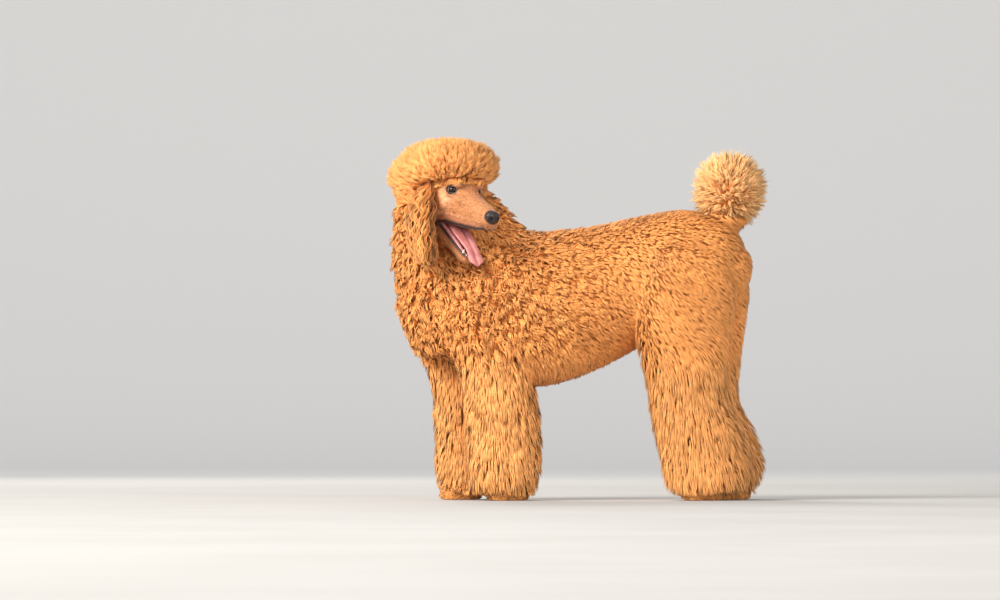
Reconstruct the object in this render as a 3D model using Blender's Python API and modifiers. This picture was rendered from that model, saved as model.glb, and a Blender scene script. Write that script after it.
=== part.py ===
"""A standard poodle, standing, its head turned to its left, its mouth open. Metres, +Z up, facing -X."""

import math

import bmesh
import bpy
import numpy as np
from mathutils import Matrix, Vector
from mathutils.bvhtree import BVHTree

# Driving sizes, in metres. The dog stands on z = 0, faces -X and keeps its left side towards -Y.
bodyBend = 0.38                         # how fast the spine curves towards the left, per metre
bendPeakX = 0.08
spineY = 0.02
headYaw = math.radians(55)              # muzzle, from +X towards the left side
headPitch = math.radians(14.6)          # muzzle dips below level
headRoll = math.radians(-2)
eyeMiddle = Vector((-0.2415, -0.148, 0.6762))
jawOpen = math.radians(33)
jawHinge = Vector((-0.045, 0, -0.050))  # head axes: x forward, y to the dog's left, z up
eyePlace = Vector((-0.0085, 0.0300, 0.0))
eyeRadius = 0.0120
eyeGaze = Vector((0.72, 0.68, 0.08))
lidOpening = (0.0115, 0.0064)           # half width and half height between the lids
legHalfDepth = 0.067                    # across the body, tips of the coat
fullLegHalf = 0.082                     # a leg shorter than this along the body is thinner across it too

# Stations of the torso: x, top, bottom and half width of the coat's outline, and the coat's depth.
torsoStations = [
    (0.352, 0.570, 0.440, 0.072, 0.030),
    (0.318, 0.632, 0.390, 0.108, 0.030),
    (0.260, 0.647, 0.360, 0.128, 0.030),
    (0.190, 0.639, 0.350, 0.128, 0.030),
    (0.110, 0.622, 0.335, 0.122, 0.028),
    (0.040, 0.611, 0.300, 0.126, 0.028),
    (-0.030, 0.602, 0.268, 0.136, 0.028),
    (-0.100, 0.597, 0.250, 0.144, 0.030),
    (-0.180, 0.598, 0.262, 0.145, 0.032),
    (-0.260, 0.580, 0.285, 0.132, 0.036),
    (-0.315, 0.530, 0.320, 0.105, 0.038),
    (-0.345, 0.480, 0.360, 0.074, 0.038),
]
# Stations of the neck: centre, half width, half depth along the body, coat's depth.
neckStations = [
    ((-0.205, -0.012, 0.380), 0.118, 0.168, 0.040),
    ((-0.222, -0.018, 0.440), 0.124, 0.174, 0.040),
    ((-0.240, -0.024, 0.500), 0.114, 0.171, 0.042),
    ((-0.268, -0.024, 0.565), 0.101, 0.152, 0.044),
    ((-0.292, -0.027, 0.630), 0.088, 0.126, 0.044),
    ((-0.306, -0.036, 0.680), 0.076, 0.098, 0.040),
    ((-0.316, -0.042, 0.715), 0.060, 0.074, 0.034),
]
# Stations of a leg: height, centre along the body, half length and the coat's depth.
foreStations = [
    (0.430, -0.205, 0.100, 0.030),
    (0.360, -0.192, 0.098, 0.036),
    (0.300, -0.181, 0.086, 0.044),
    (0.250, -0.172, 0.083, 0.050),
    (0.200, -0.165, 0.085, 0.052),
    (0.150, -0.161, 0.086, 0.052),
    (0.100, -0.160, 0.085, 0.050),
    (0.055, -0.161, 0.080, 0.044),
    (0.030, -0.163, 0.072, 0.038),
]
hindStations = [
    (0.540, 0.250, 0.098, 0.028),
    (0.480, 0.243, 0.116, 0.030),
    (0.420, 0.237, 0.117, 0.034),
    (0.360, 0.236, 0.110, 0.040),
    (0.310, 0.239, 0.102, 0.046),
    (0.265, 0.242, 0.094, 0.048),
    (0.220, 0.2465, 0.090, 0.048),
    (0.178, 0.256, 0.093, 0.048),
    (0.133, 0.272, 0.100, 0.052),
    (0.089, 0.284, 0.103, 0.052),
    (0.055, 0.292, 0.095, 0.046),
    (0.030, 0.296, 0.080, 0.038),
]
# Legs: side of the body (+1 is the dog's left), shift along the body, and offset across it at hip and foot.
legs = {
    "foreleg_left": dict(stations=foreStations, side=1, shift=0.0, hip=0.074, foot=0.084),
    "foreleg_right": dict(stations=foreStations, side=-1, shift=-0.070, hip=0.074, foot=0.084),
    "hindleg_left": dict(stations=hindStations, side=1, shift=0.0, hip=0.072, foot=0.086),
    "hindleg_right": dict(stations=hindStations, side=-1, shift=0.037, hip=0.072, foot=0.086),
}
# Skull with the upper jaw, head axes: along, top, bottom, half width.
skullStations = [
    (-0.118, 0.008, -0.028, 0.028),
    (-0.104, 0.028, -0.050, 0.044),
    (-0.080, 0.038, -0.066, 0.051),
    (-0.050, 0.040, -0.073, 0.0535),
    (-0.022, 0.028, -0.074, 0.049),
    (0.000, 0.0125, -0.071, 0.0390),
    (0.016, 0.0040, -0.069, 0.0315),
    (0.035, -0.0015, -0.067, 0.0270),
    (0.060, -0.0070, -0.065, 0.0255),
    (0.085, -0.0130, -0.0635, 0.0243),
    (0.103, -0.0190, -0.0620, 0.0222),
    (0.1135, -0.0240, -0.0590, 0.0180),
]
# Lower jaw as if the mouth were shut.
jawStations = [
    (-0.070, -0.045, -0.096, 0.044),
    (-0.035, -0.064, -0.099, 0.043),
    (0.000, -0.067, -0.096, 0.0355),
    (0.030, -0.067, -0.093, 0.0280),
    (0.058, -0.066, -0.089, 0.0225),
    (0.078, -0.065, -0.086, 0.0190),
    (0.088, -0.066, -0.082, 0.0140),
]
# Tongue, head axes: along, across, height of its middle, half width, half thickness.
tongueStations = [
    (-0.030, 0.000, -0.074, 0.0220, 0.0070),
    (-0.010, 0.000, -0.080, 0.0240, 0.0075),
    (0.012, 0.001, -0.091, 0.0230, 0.0072),
    (0.032, 0.003, -0.1045, 0.0195, 0.0066),
    (0.047, 0.006, -0.1170, 0.0170, 0.0060),
    (0.060, 0.009, -0.1290, 0.0180, 0.0054),
    (0.069, 0.011, -0.139, 0.0180, 0.0050),
    (0.0735, 0.012, -0.145, 0.0120, 0.0042),
]
# Roof of the mouth, head axes, and trough of the shut lower jaw: along, two heights, half width.
roofStations = [
    (-0.030, -0.078, -0.060, 0.0280),
    (0.000, -0.078, -0.059, 0.0240),
    (0.030, -0.078, -0.0575, 0.0185),
    (0.060, -0.078, -0.0565, 0.0155),
    (0.085, -0.078, -0.0560, 0.0135),
    (0.098, -0.076, -0.0575, 0.0100),
]
troughStations = [
    (-0.028, -0.050, -0.078, 0.030),
    (0.000, -0.050, -0.0785, 0.0245),
    (0.030, -0.050, -0.0780, 0.0180),
    (0.058, -0.050, -0.0760, 0.0135),
    (0.076, -0.050, -0.0740, 0.0095),
]
# Edges of the lips on the left, head axes. The lower one is that of the shut jaw.
upperLip = [
    (0.110, 0.005, -0.0590),
    (0.105, 0.0125, -0.0610),
    (0.088, 0.0190, -0.0635),
    (0.060, 0.0215, -0.0665),
    (0.030, 0.0250, -0.0680),
    (0.002, 0.0320, -0.0680),
    (-0.020, 0.0400, -0.0720),
    (-0.033, 0.0435, -0.0830),
]
upperLipRadii = [0.0040, 0.0046, 0.0050, 0.0052, 0.0052, 0.0052, 0.0052, 0.0046]
# The flews fill the crease above the upper lip: how far inwards, up and thicker each one is than the lip.
flews = [(0.0012, 0.0065, 0.0008), (0.0035, 0.0130, 0.0016)]
lowerLip = [
    (0.086, 0.006, -0.0665),
    (0.080, 0.0135, -0.0665),
    (0.058, 0.0195, -0.0670),
    (0.030, 0.0250, -0.0680),
    (0.000, 0.0325, -0.0680),
    (-0.022, 0.0400, -0.0650),
]
lowerLipRadii = [0.0034, 0.0036, 0.0038, 0.0040, 0.0042, 0.0044]
# Swellings of the left of the head, head axes: middle and radii.
headSwellings = {
    "cheek bone": ((-0.036, 0.0370, -0.028), (0.034, 0.0170, 0.024)),
    "chewing muscle": ((-0.046, 0.0360, -0.062), (0.028, 0.0160, 0.030)),
    "brow": ((-0.004, 0.0270, 0.0135), (0.017, 0.0130, 0.0085)),
    "lids": ((eyePlace.x, eyePlace.y, eyePlace.z), (0.0150, 0.0148, 0.0145)),
    "below the eye": ((0.018, 0.0225, -0.018), (0.024, 0.0100, 0.013)),
    "whisker pad": ((0.094, 0.0140, -0.048), (0.017, 0.0105, 0.014)),
}
lidCut = dict(ahead=0.010, deep=0.0105, sides=14, rings=8)
noseMiddle = Vector((0.1125, 0, -0.0345))
noseRadii = Vector((0.0125, 0.0175, 0.0145))
nostril = dict(place=(0.1225, 0.0085, -0.0360), radii=(0.0080, 0.0034, 0.0044))
# Lower teeth of the shut jaw that the tongue leaves bare: root, height and radius.
lowerTeeth = [
    ((0.0760, -0.0142, -0.0680), 0.0120, 0.0030),
    ((0.0850, -0.0100, -0.0680), 0.0075, 0.0021),
    ((0.0875, -0.0058, -0.0680), 0.0070, 0.0020),
    ((0.0890, -0.0018, -0.0680), 0.0065, 0.0019),
]
topknotCentre = Vector((-0.081, 0, 0.0315))
topknotRadii = Vector((0.114, 0.114, 0.070))
topknotPower = 2.35
topknotTilt = math.radians(-17)         # its front edge is lifted off the brow
topknotCoat = 0.070
napeCentre = Vector((-0.138, 0, -0.008))  # the topknot's lower ball, behind
napeRadii = Vector((0.079, 0.108, 0.066))
tailPomCentre = Vector((0.343, 0.0, 0.688))
tailPomRadii = Vector((0.082, 0.076, 0.085))
tailPomCoat = 0.056
# Stem of the tail: middle, half width, half length along the body, and how much of the pom's coat it carries.
tailStem = [
    ((0.300, 0, 0.575), 0.040, 0.042, 0.3),
    ((0.322, 0, 0.612), 0.042, 0.044, 0.4),
    ((0.336, 0, 0.650), 0.046, 0.048, 0.5),
    ((0.343, 0, 0.690), 0.040, 0.040, 0.0),
]


def spineAt(x):
    """Where the spine runs across the body, x being along it."""
    return spineY - bodyBend * (x - bendPeakX) ** 2


def leftAt(x):
    """The dog's left, level, at that place along the bent body."""
    slope = -2 * bodyBend * (x - bendPeakX)
    return Vector((slope, -1, 0)).normalized()


def headMatrix():
    """From head axes to the world: x forward, y to the dog's left, z up, from between the eyes."""
    turn = Matrix.Rotation(-headYaw, 4, "Z") @ Matrix.Rotation(headPitch, 4, "Y")
    return Matrix.Translation(eyeMiddle) @ turn @ Matrix.Rotation(headRoll, 4, "X")


def smoothRow(rows, t):
    """Catmull-Rom through rows of numbers, t from 0 to 1."""
    last = len(rows) - 1
    at = min(max(t, 0.0), 1.0) * last
    i = min(int(at), last - 1)
    f = at - i
    a, b, c, d = rows[max(i - 1, 0)], rows[i], rows[i + 1], rows[min(i + 2, last)]
    bend, twist = 2 * a - 5 * b + 4 * c - d, 3 * b - a - 3 * c + d
    return 0.5 * (2 * b + (c - a) * f + bend * f ** 2 + twist * f ** 3)


def loftMesh(name, stations, leftHint, sides=16, steps=14, caps=(0.5, 0.5), power=2.0,
             capAngles=(30, 60, 82)):
    """A closed tube through stations of (centre, half width, half height), with rounded ends.

    leftHint gives the direction of the half width. caps are the ends' roundness as shares of the radius.
    """
    rows = [np.array([*s[0], s[1], s[2], s[3] if len(s) > 3 else power], float) for s in stations]
    samples = [smoothRow(rows, k / steps) for k in range(steps + 1)]
    rings = []
    for k, row in enumerate(samples):
        before, after = samples[max(k - 1, 0)], samples[min(k + 1, steps)]
        along = Vector(after[:3] - before[:3]).normalized()
        left = Vector(leftHint(row[0]) if callable(leftHint) else leftHint)
        left = (left - left.dot(along) * along).normalized()
        rings.append([Vector(row[:3]), along, left, along.cross(left), row[3], row[4], row[5]])

    def capRings(ring, sign, share):
        reach = share * min(ring[4], ring[5])
        made = []
        for angle in capAngles:
            a = math.radians(angle)
            made.append([ring[0] + ring[1] * sign * reach * math.sin(a), *ring[1:4],
                         ring[4] * math.cos(a), ring[5] * math.cos(a), ring[6]])
        return made

    rings = capRings(rings[0], -1, caps[0])[::-1] + rings + capRings(rings[-1], 1, caps[1])
    bm = bmesh.new()
    grid = []
    for centre, along, left, up, wide, high, shape in rings:
        ring = []
        for j in range(sides):
            a = 2 * math.pi * j / sides
            c, s = math.cos(a), math.sin(a)
            x = math.copysign(abs(c) ** (2 / shape), c) * wide
            y = math.copysign(abs(s) ** (2 / shape), s) * high
            ring.append(bm.verts.new(centre + left * x + up * y))
        grid.append(ring)
    for a, b in zip(grid, grid[1:]):
        for j in range(sides):
            bm.faces.new((a[j], a[(j + 1) % sides], b[(j + 1) % sides], b[j]))
    bm.faces.new(grid[0][::-1])
    bm.faces.new(grid[-1])
    bmesh.ops.recalc_face_normals(bm, faces=bm.faces)
    return bm


def superBall(centre, radii, power=2.0, rings=12, sides=16):
    """A ball whose sides are squared off by power."""
    bm = bmesh.new()
    bmesh.ops.create_uvsphere(bm, u_segments=sides, v_segments=rings, radius=1)
    for v in bm.verts:
        d = v.co.normalized()
        r = (abs(d.x) ** power + abs(d.y) ** power + abs(d.z) ** power) ** (-1 / power)
        v.co = Vector((d.x * r * radii[0], d.y * r * radii[1], d.z * r * radii[2])) + Vector(centre)
    return bm


def torsoLoft(depthShare):
    """The torso's outline, less that share of the coat's depth."""
    stations = []
    for x, top, bottom, wide, coat in torsoStations:
        inset = coat * depthShare
        centre = (x, spineAt(x), (top + bottom) / 2)
        stations.append((centre, wide - inset, (top - bottom) / 2 - inset, 2.25))
    return loftMesh("torso", stations, leftAt, caps=(0.55, 0.7), sides=32, steps=40)


def neckLoft(depthShare):
    stations = []
    for centre, wide, deep, coat in neckStations:
        inset = coat * depthShare
        stations.append((centre, wide - inset, deep - inset, 2.15))
    return loftMesh("neck", stations, leftAt(-0.25), caps=(0.3, 0.45), sides=32, steps=30)


def legLoft(leg, depthShare):
    stations = []
    top = leg["stations"][0][0]
    for z, x, half, coat in leg["stations"]:
        inset = coat * depthShare
        offset = leg["foot"] + (leg["hip"] - leg["foot"]) * z / top
        across = leftAt(x) * leg["side"] * offset
        centre = (x + leg["shift"], spineAt(x) + across.y, z)
        stations.append((centre, legHalfDepth * min(1, half / fullLegHalf) - inset, half - inset, 2.1))
    return loftMesh("leg", stations, (0.15, -1, 0), caps=(0.3, 0.18), sides=24, steps=30)


def jawTurned(point):
    """A point of the shut lower jaw, once the mouth is open."""
    return jawHinge + Matrix.Rotation(jawOpen, 3, "Y") @ (Vector(point) - jawHinge)


def headLoft():
    stations = []
    for along, top, bottom, wide in skullStations:
        power = 2.2 if along < 0.005 else 2.5
        stations.append(((along, 0, (top + bottom) / 2), wide, (top - bottom) / 2, power))
    return loftMesh("skull", stations, (0, 1, 0), caps=(0.6, 0.35), sides=32, steps=56)


def jawLoft():
    stations = []
    for along, top, bottom, wide in jawStations:
        stations.append((jawTurned((along, 0, (top + bottom) / 2)), wide, (top - bottom) / 2, 2.3))
    return loftMesh("jaw", stations, (0, 1, 0), caps=(0.6, 0.5))


def tubeMesh(points, radii, sides=10, steps=24):
    """A round tube through points, thick as radii say."""
    stations = [(p, r, r) for p, r in zip(points, radii)]
    return loftMesh("tube", stations, (0.1, 0.2, 1), sides=sides, steps=steps, caps=(0.9, 0.9))


def mirrored(points, side):
    return [(p[0], p[1] * side, p[2]) for p in points]


def headPieces():
    """Closed pieces that the head is fused from, in head axes."""
    made = [headLoft(), jawLoft()]
    for side in (1, -1):
        for middle, radii in headSwellings.values():
            made.append(superBall(mirrored([middle], side)[0], radii))
        made.append(tubeMesh(mirrored(upperLip, side), upperLipRadii))
        for inward, up, thicker in flews:
            line = mirrored([(x, y - inward, z + up) for x, y, z in upperLip], side)
            made.append(tubeMesh(line, [r + thicker for r in upperLipRadii]))
        made.append(tubeMesh([jawTurned(p) for p in mirrored(lowerLip, side)], lowerLipRadii))
    return made


def mouthHollows():
    """The roof of the mouth and the trough of the lower jaw, to be cut away."""
    upper = [((a, 0, (b + c) / 2), w, (c - b) / 2, 2.6) for a, b, c, w in roofStations]
    lower = [(jawTurned((a, 0, (b + c) / 2)), w, (b - c) / 2, 2.6) for a, b, c, w in troughStations]
    form = dict(leftHint=(0, 1, 0), caps=(0.5, 0.5), sides=12, steps=7, capAngles=(45,))
    return [loftMesh("roof", upper, **form), loftMesh("trough", lower, **form)]


def toothCone(root, height, radius):
    """A tooth of the lower jaw, its root sunk below the gum."""
    bm = bmesh.new()
    bmesh.ops.create_cone(bm, segments=6, radius1=radius, radius2=radius * 0.25, depth=height, cap_ends=True)
    place = Matrix.Translation(jawTurned(root)) @ Matrix.Rotation(jawOpen, 4, "Y")
    bmesh.ops.transform(bm, matrix=place @ Matrix.Translation((0, 0, height * 0.5)), verts=bm.verts)
    return bm


def nostrilCutter(side):
    x, y, z = nostril["place"]
    return superBall((x, y * side, z), nostril["radii"], rings=6, sides=8)


def eyeTurn(side):
    """Axes at an eye: x along the gaze, y along the opening of the lids."""
    gaze = Vector((eyeGaze.x, eyeGaze.y * side, eyeGaze.z)).normalized()
    along = Vector((0, 0, 1)).cross(gaze).normalized()
    turn = Matrix((gaze, along, gaze.cross(along))).transposed().to_4x4()
    return Matrix.Translation((eyePlace.x, eyePlace.y * side, eyePlace.z)) @ turn


def lidCutter(side):
    """Opens the lids in front of an eye."""
    form = dict(rings=lidCut["rings"], sides=lidCut["sides"])
    cutter = superBall((lidCut["ahead"], 0, 0), (lidCut["deep"], *lidOpening), **form)
    bmesh.ops.transform(cutter, matrix=eyeTurn(side), verts=cutter.verts)
    return cutter


def tongueLoft(swell=0.0):
    stations = [((a, b, h), w + swell, t + swell, 2.3) for a, b, h, w, t in tongueStations]
    return loftMesh("tongue", stations, (0, 1, 0), caps=(0.6, 0.9), sides=10, steps=9, capAngles=(35, 70))


# Ears: how far each row lies below the root, outwards and forwards of it, its half width and half thickness.
# These rows hold the whole ear with its hair.
earRows = {
    -1: [
        (-0.010, 0.010, 0.006, 0.026, 0.010),
        (0.014, 0.020, 0.012, 0.042, 0.013),
        (0.050, 0.033, 0.022, 0.053, 0.015),
        (0.092, 0.040, 0.033, 0.057, 0.016),
        (0.132, 0.040, 0.043, 0.052, 0.016),
        (0.172, 0.035, 0.051, 0.040, 0.014),
    ],
    1: [
        (-0.010, 0.010, 0.000, 0.026, 0.010),
        (0.014, 0.026, -0.002, 0.042, 0.013),
        (0.048, 0.046, -0.004, 0.053, 0.015),
        (0.088, 0.060, -0.006, 0.057, 0.016),
        (0.128, 0.068, -0.008, 0.052, 0.016),
        (0.166, 0.070, -0.010, 0.040, 0.014),
    ],
}
earRootPlace = Vector((-0.075, 0.051, -0.013))
earLobe = dict(width=0.84, thick=0.55, inward=0.40, end=0.84)
earLocks = dict(count=5, width=0.0150, thick=0.0080, sides=4, steps=4)


def earFrame(side):
    """Root, outward and forward of an ear. It hangs straight down, so only its root turns with the head."""
    root = headMatrix() @ Vector((earRootPlace.x, earRootPlace.y * side, earRootPlace.z))
    forward = Vector((math.cos(headYaw), -math.sin(headYaw), 0))
    outward = Vector((math.sin(headYaw), math.cos(headYaw), 0)) * side
    return root, outward, forward


def earAcross(side):
    root, outward, forward = earFrame(side)
    return (forward + outward * (0.25 if side < 0 else 0.05)).normalized()


def earPoint(side, t, across=0.0, proud=0.0):
    """A place in an ear: t runs down it, across and proud are shares of its half width and half thickness."""
    root, outward, forward = earFrame(side)
    below, out, ahead, wide, thick = smoothRow([np.array(r) for r in earRows[side]], t)
    wideAxis = earAcross(side)
    proudAxis = wideAxis.cross(Vector((0, 0, 1))).normalized()
    if proudAxis.dot(outward) < 0:
        proudAxis = -proudAxis
    centre = root + outward * out + forward * ahead - Vector((0, 0, below))
    return centre + wideAxis * wide * across + proudAxis * thick * proud, wide, thick


def earEnvelope(side, swell):
    stations = []
    for k in range(8):
        centre, wide, thick = earPoint(side, k / 7)
        stations.append((centre, wide + swell, thick + swell, 2.2))
    return loftMesh("ear", stations, earAcross(side), sides=12, steps=7, caps=(0.5, 1.3), capAngles=(45,))


def earLobeLoft(side):
    stations = []
    for k in range(7):
        centre, wide, thick = earPoint(side, earLobe["end"] * k / 6, 0, -earLobe["inward"])
        stations.append((centre, wide * earLobe["width"], thick * earLobe["thick"], 2.2))
    return loftMesh("lobe", stations, earAcross(side), sides=10, steps=6, caps=(0.4, 0.8), capAngles=(50,))


def earLock(side, i, random):
    """One flat tapered lock that hangs down the outer face and ends below the lobe."""
    count = earLocks["count"]
    across = ((i + 0.5) / count * 2 - 1) * 0.80
    start = random.uniform(0.04, 0.22)
    end = random.uniform(0.93, 1.0) - 0.10 * abs(across)
    phase = random.uniform(0, 6.28)
    stations = []
    for k in range(6):
        share = k / 5
        t = start + (end - start) * share
        sway = math.sin(phase + share * 5.5) * 0.055
        centre, wide, thick = earPoint(side, t, across * (0.75 + 0.25 * share) + sway, 0.42 - 0.35 * share)
        taper = 0.55 + 0.9 * share if share < 0.5 else 1.0 - 1.62 * (share - 0.5)
        stations.append((centre, earLocks["width"] * taper, earLocks["thick"] * taper, 2))
    return loftMesh("lock", stations, earAcross(side), sides=earLocks["sides"], steps=earLocks["steps"],
                    caps=(0.6, 0.9), capAngles=(50,))


def earSolid(name, side):
    random = np.random.default_rng(20 + side)
    pieces = [earLobeLoft(side)] + [earLock(side, i, random) for i in range(earLocks["count"])]
    return unite(name, pieces)


def topknotBalls(depthShare):
    inset = topknotCoat * depthShare
    main = superBall((0, 0, 0), topknotRadii - Vector((inset, inset, inset * 0.9)), topknotPower)
    tilt = Matrix.Translation(topknotCentre) @ Matrix.Rotation(topknotTilt, 4, "Y")
    bmesh.ops.transform(main, matrix=tilt, verts=main.verts)
    back = superBall(napeCentre, napeRadii - Vector((inset, inset, inset * 0.8)), 2.3)
    return [main, back]


def tailPieces(depthShare):
    inset = tailPomCoat * depthShare
    pom = superBall(tailPomCentre, tailPomRadii - Vector((inset,) * 3), 2.1)
    stations = [(p, w - inset * share, d - inset * share) for p, w, d, share in tailStem]
    return [pom, loftMesh("stem", stations, (0, -1, 0))]


def noseBall(swell):
    return superBall(noseMiddle, noseRadii + Vector((swell,) * 3), 2.3, rings=8, sides=14)


def eyeBall(side, swell=0.0):
    return superBall((eyePlace.x, eyePlace.y * side, eyePlace.z), (eyeRadius + swell,) * 3, rings=7, sides=12)


# How the dog is parted. gap is left between touching nodes.
gap = 0.0003
weld = 0.000001                         # points nearer than this are one
hair = 0.000015                         # how far a cutter moves where a cut fails
flatAngle = math.radians(1.5)           # faces that meet flatter than this are joined before the last split
floorGap = 0.020                        # the coat ends here above the floor, and the paws show below it
earRoom = 0.0005                        # cut round an ear's outline in what it hangs against
coreShare = 0.5                         # how deep in the coat its core lies
bodyForm = dict(voxel=0.011, smooth=3, triangles=700)
topknotForm = dict(voxel=0.008, smooth=2, triangles=300)
headForm = dict(voxel=0.0026, smooth=3, triangles=1750)
# The coat's clumps: rounded, set close, and reaching the coat's outline from half way down.
clumps = dict(spacing=0.092, width=0.60, sunk=0.005, deepest=0.034, sides=6, rings=4, above=0.050,
              kept=0.74, seed=7)
topClumps = dict(clumps, spacing=0.076, above=-0.070, kept=0.80, seed=11)
# Planes of (point, outward normal), in head axes: the head ends at a slant behind the jaw and under the topknot.
headRear = ((-0.045, 0, -0.110), (-0.866, 0, -0.50))
browPlane = ((0, 0, 0.0165), (-0.287, 0, 0.958))
aboveBrow = ((0, 0, 0.0165), (0.287, 0, -0.958))
throatPlane = ((0, 0, -0.158), (0, 0, -1))
headSides = [((0, 0.060, 0), (0, 1, 0)), ((0, -0.060, 0), (0, -1, 0))]
jawPlanes = [((-0.036, 0, -0.0835), (0.17, 0, 1)), ((-0.036, 0, -0.0835), (-0.72, 0, 0.69))]
neckPlanes = [((-0.130, 0, 0.600), (0.569, 0, -0.822))]
tailPlanes = [((0.315, 0, 0.622), (-0.509, 0, -0.861))]
# A leg is parted from the body by the body's middle, a slant beside it and a wall that clears the belly.
legCuts = {
    "fore": dict(middle=-0.195, aside=0.030, height=0.245, slant=0.87, wall=((-0.085, 0, 0.27), (1, 0, 0.20))),
    "hind": dict(middle=0.290, aside=0.020, height=0.335, slant=0.90, wall=((0.122, 0, 0.40), (-1, 0, 0.16))),
}
# A paw: its pad, its toes, how far apart they stand, and the claws, from the middle of the leg's foot.
paw = dict(pad=(0.036, 0.028, 0.022), padBack=0.006, padHeight=0.016, toe=(0.021, 0.0105, 0.0150), apart=0.0155,
           longAhead=0.026, shortAhead=0.017, toeHeight=0.0125, turn=(-1, 0.10, 0))
claw = dict(ahead=0.019, down=-0.45, length=0.013, radius=0.0027, tip=0.0007, sides=5)
partsGroup = "standard_poodle"
cutGroup = "cutters"
colours = {
    "body": (0.60, 0.24, 0.080),
    "face": (0.74, 0.38, 0.165),
    "topknot": (0.66, 0.29, 0.105),
    "ear": (0.55, 0.21, 0.070),
    "tail": (0.80, 0.44, 0.21),
    "nose": (0.018, 0.013, 0.012),
    "eye": (0.020, 0.008, 0.004),
    "tongue": (0.62, 0.20, 0.19),
    "paw": (0.50, 0.22, 0.09),
}
roughness = {"nose": 0.35, "eye": 0.08, "tongue": 0.35}
coatRoughness = 0.9


def clearScene():
    for obj in list(bpy.data.objects):
        bpy.data.objects.remove(obj, do_unlink=True)


def collectionNamed(name):
    found = bpy.data.collections.get(name)
    if found is None:
        found = bpy.data.collections.new(name)
        bpy.context.scene.collection.children.link(found)
    return found


def newObject(name, bm, matrix=None, group=partsGroup):
    mesh = bpy.data.meshes.new(name)
    bm.to_mesh(mesh)
    bm.free()
    if matrix is not None:
        mesh.transform(matrix)
    obj = bpy.data.objects.new(name, mesh)
    collectionNamed(group).objects.link(obj)
    return obj


def cutter(name, bm, matrix=None):
    obj = newObject(name, bm, matrix, cutGroup)
    obj.hide_render = True
    obj.display_type = "WIRE"
    return obj


def copyOf(obj, name):
    twin = obj.copy()
    twin.data = obj.data.copy()
    twin.name = name
    collectionNamed(partsGroup).objects.link(twin)
    return twin


def bake(obj):
    """Applies every modifier of an object."""
    graph = bpy.context.evaluated_depsgraph_get()
    mesh = bpy.data.meshes.new_from_object(obj.evaluated_get(graph), depsgraph=graph)
    old = obj.data
    obj.modifiers.clear()
    obj.data = mesh
    bpy.data.meshes.remove(old)


def modify(obj, kind, **settings):
    modifier = obj.modifiers.new(kind.lower(), kind)
    for key, value in settings.items():
        setattr(modifier, key, value)
    bake(obj)


def closedEdges(obj):
    bm = bmesh.new()
    bm.from_mesh(obj.data)
    good = len(bm.faces) > 0 and all(e.is_manifold for e in bm.edges)
    bm.free()
    return good


def tidyMesh(obj):
    """Welds points that a cut left on top of each other, unless that would open the mesh."""
    rough = obj.data.copy()
    bm = bmesh.new()
    bm.from_mesh(obj.data)
    bmesh.ops.remove_doubles(bm, verts=bm.verts, dist=weld)
    bmesh.ops.dissolve_degenerate(bm, edges=bm.edges, dist=weld)
    bmesh.ops.triangulate(bm, faces=bm.faces)
    bm.to_mesh(obj.data)
    bm.free()
    if not closedEdges(obj):
        obj.data = rough


def boolean(obj, other, operation, solver="EXACT"):
    """Cuts or joins obj with another object or with a whole collection, then removes the other.

    Where a solver leaves an open mesh, the other one is tried, and then both again with the other moved a hair.
    """
    before = obj.data.copy()
    whole = isinstance(other, bpy.types.Collection)
    pieces = list(other.objects) if whole else [other]
    second = "MANIFOLD" if solver == "EXACT" else "EXACT"
    for attempt, kind in enumerate((solver, second) * 3):
        if attempt in (2, 4):
            for i, piece in enumerate(pieces):
                nudge = Vector((1, -1, 1)) * hair * (1 + i % 5)
                piece.data.transform(Matrix.Translation(nudge))
        obj.data = before.copy()
        modifier = obj.modifiers.new("boolean", "BOOLEAN")
        modifier.operation = operation
        modifier.solver = kind
        if whole:
            modifier.operand_type = "COLLECTION"
            modifier.collection = other
        else:
            modifier.object = other
        bake(obj)
        if closedEdges(obj):
            tidyMesh(obj)
            break
    else:
        print("open after", operation, obj.name)
    for piece in pieces:
        bpy.data.objects.remove(piece, do_unlink=True)
    if whole:
        bpy.data.collections.remove(other)


def addPieces(obj, pieces, solver="EXACT"):
    """Joins closed pieces to a solid in one Boolean on their collection."""
    group = obj.name + "_pieces"
    for i, bm in enumerate(pieces):
        newObject(f"{obj.name}_{i}", bm, None, group)
    boolean(obj, bpy.data.collections[group], "UNION", solver)


def unite(name, pieces):
    """One solid from closed pieces that overlap."""
    base = newObject(name, pieces[0])
    addPieces(base, pieces[1:])
    return base


def heap(name, pieces, matrix=None):
    """Closed pieces in one mesh, left crossing each other, for a voxel remesh to fuse."""
    whole = bmesh.new()
    for bm in pieces:
        mesh = bpy.data.meshes.new("piece")
        bm.to_mesh(mesh)
        bm.free()
        whole.from_mesh(mesh)
        bpy.data.meshes.remove(mesh)
    return newObject(name, whole, matrix)


def fused(name, pieces, form, reduced=True, matrix=None):
    """Crossing closed pieces made one smooth skin."""
    skin = heap(name, pieces, matrix)
    modify(skin, "REMESH", mode="VOXEL", voxel_size=form["voxel"], adaptivity=0.0)
    modify(skin, "SMOOTH", factor=0.5, iterations=form["smooth"])
    if reduced:
        modify(skin, "DECIMATE", ratio=form["triangles"] / (2 * len(skin.data.polygons)))
    return skin


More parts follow.
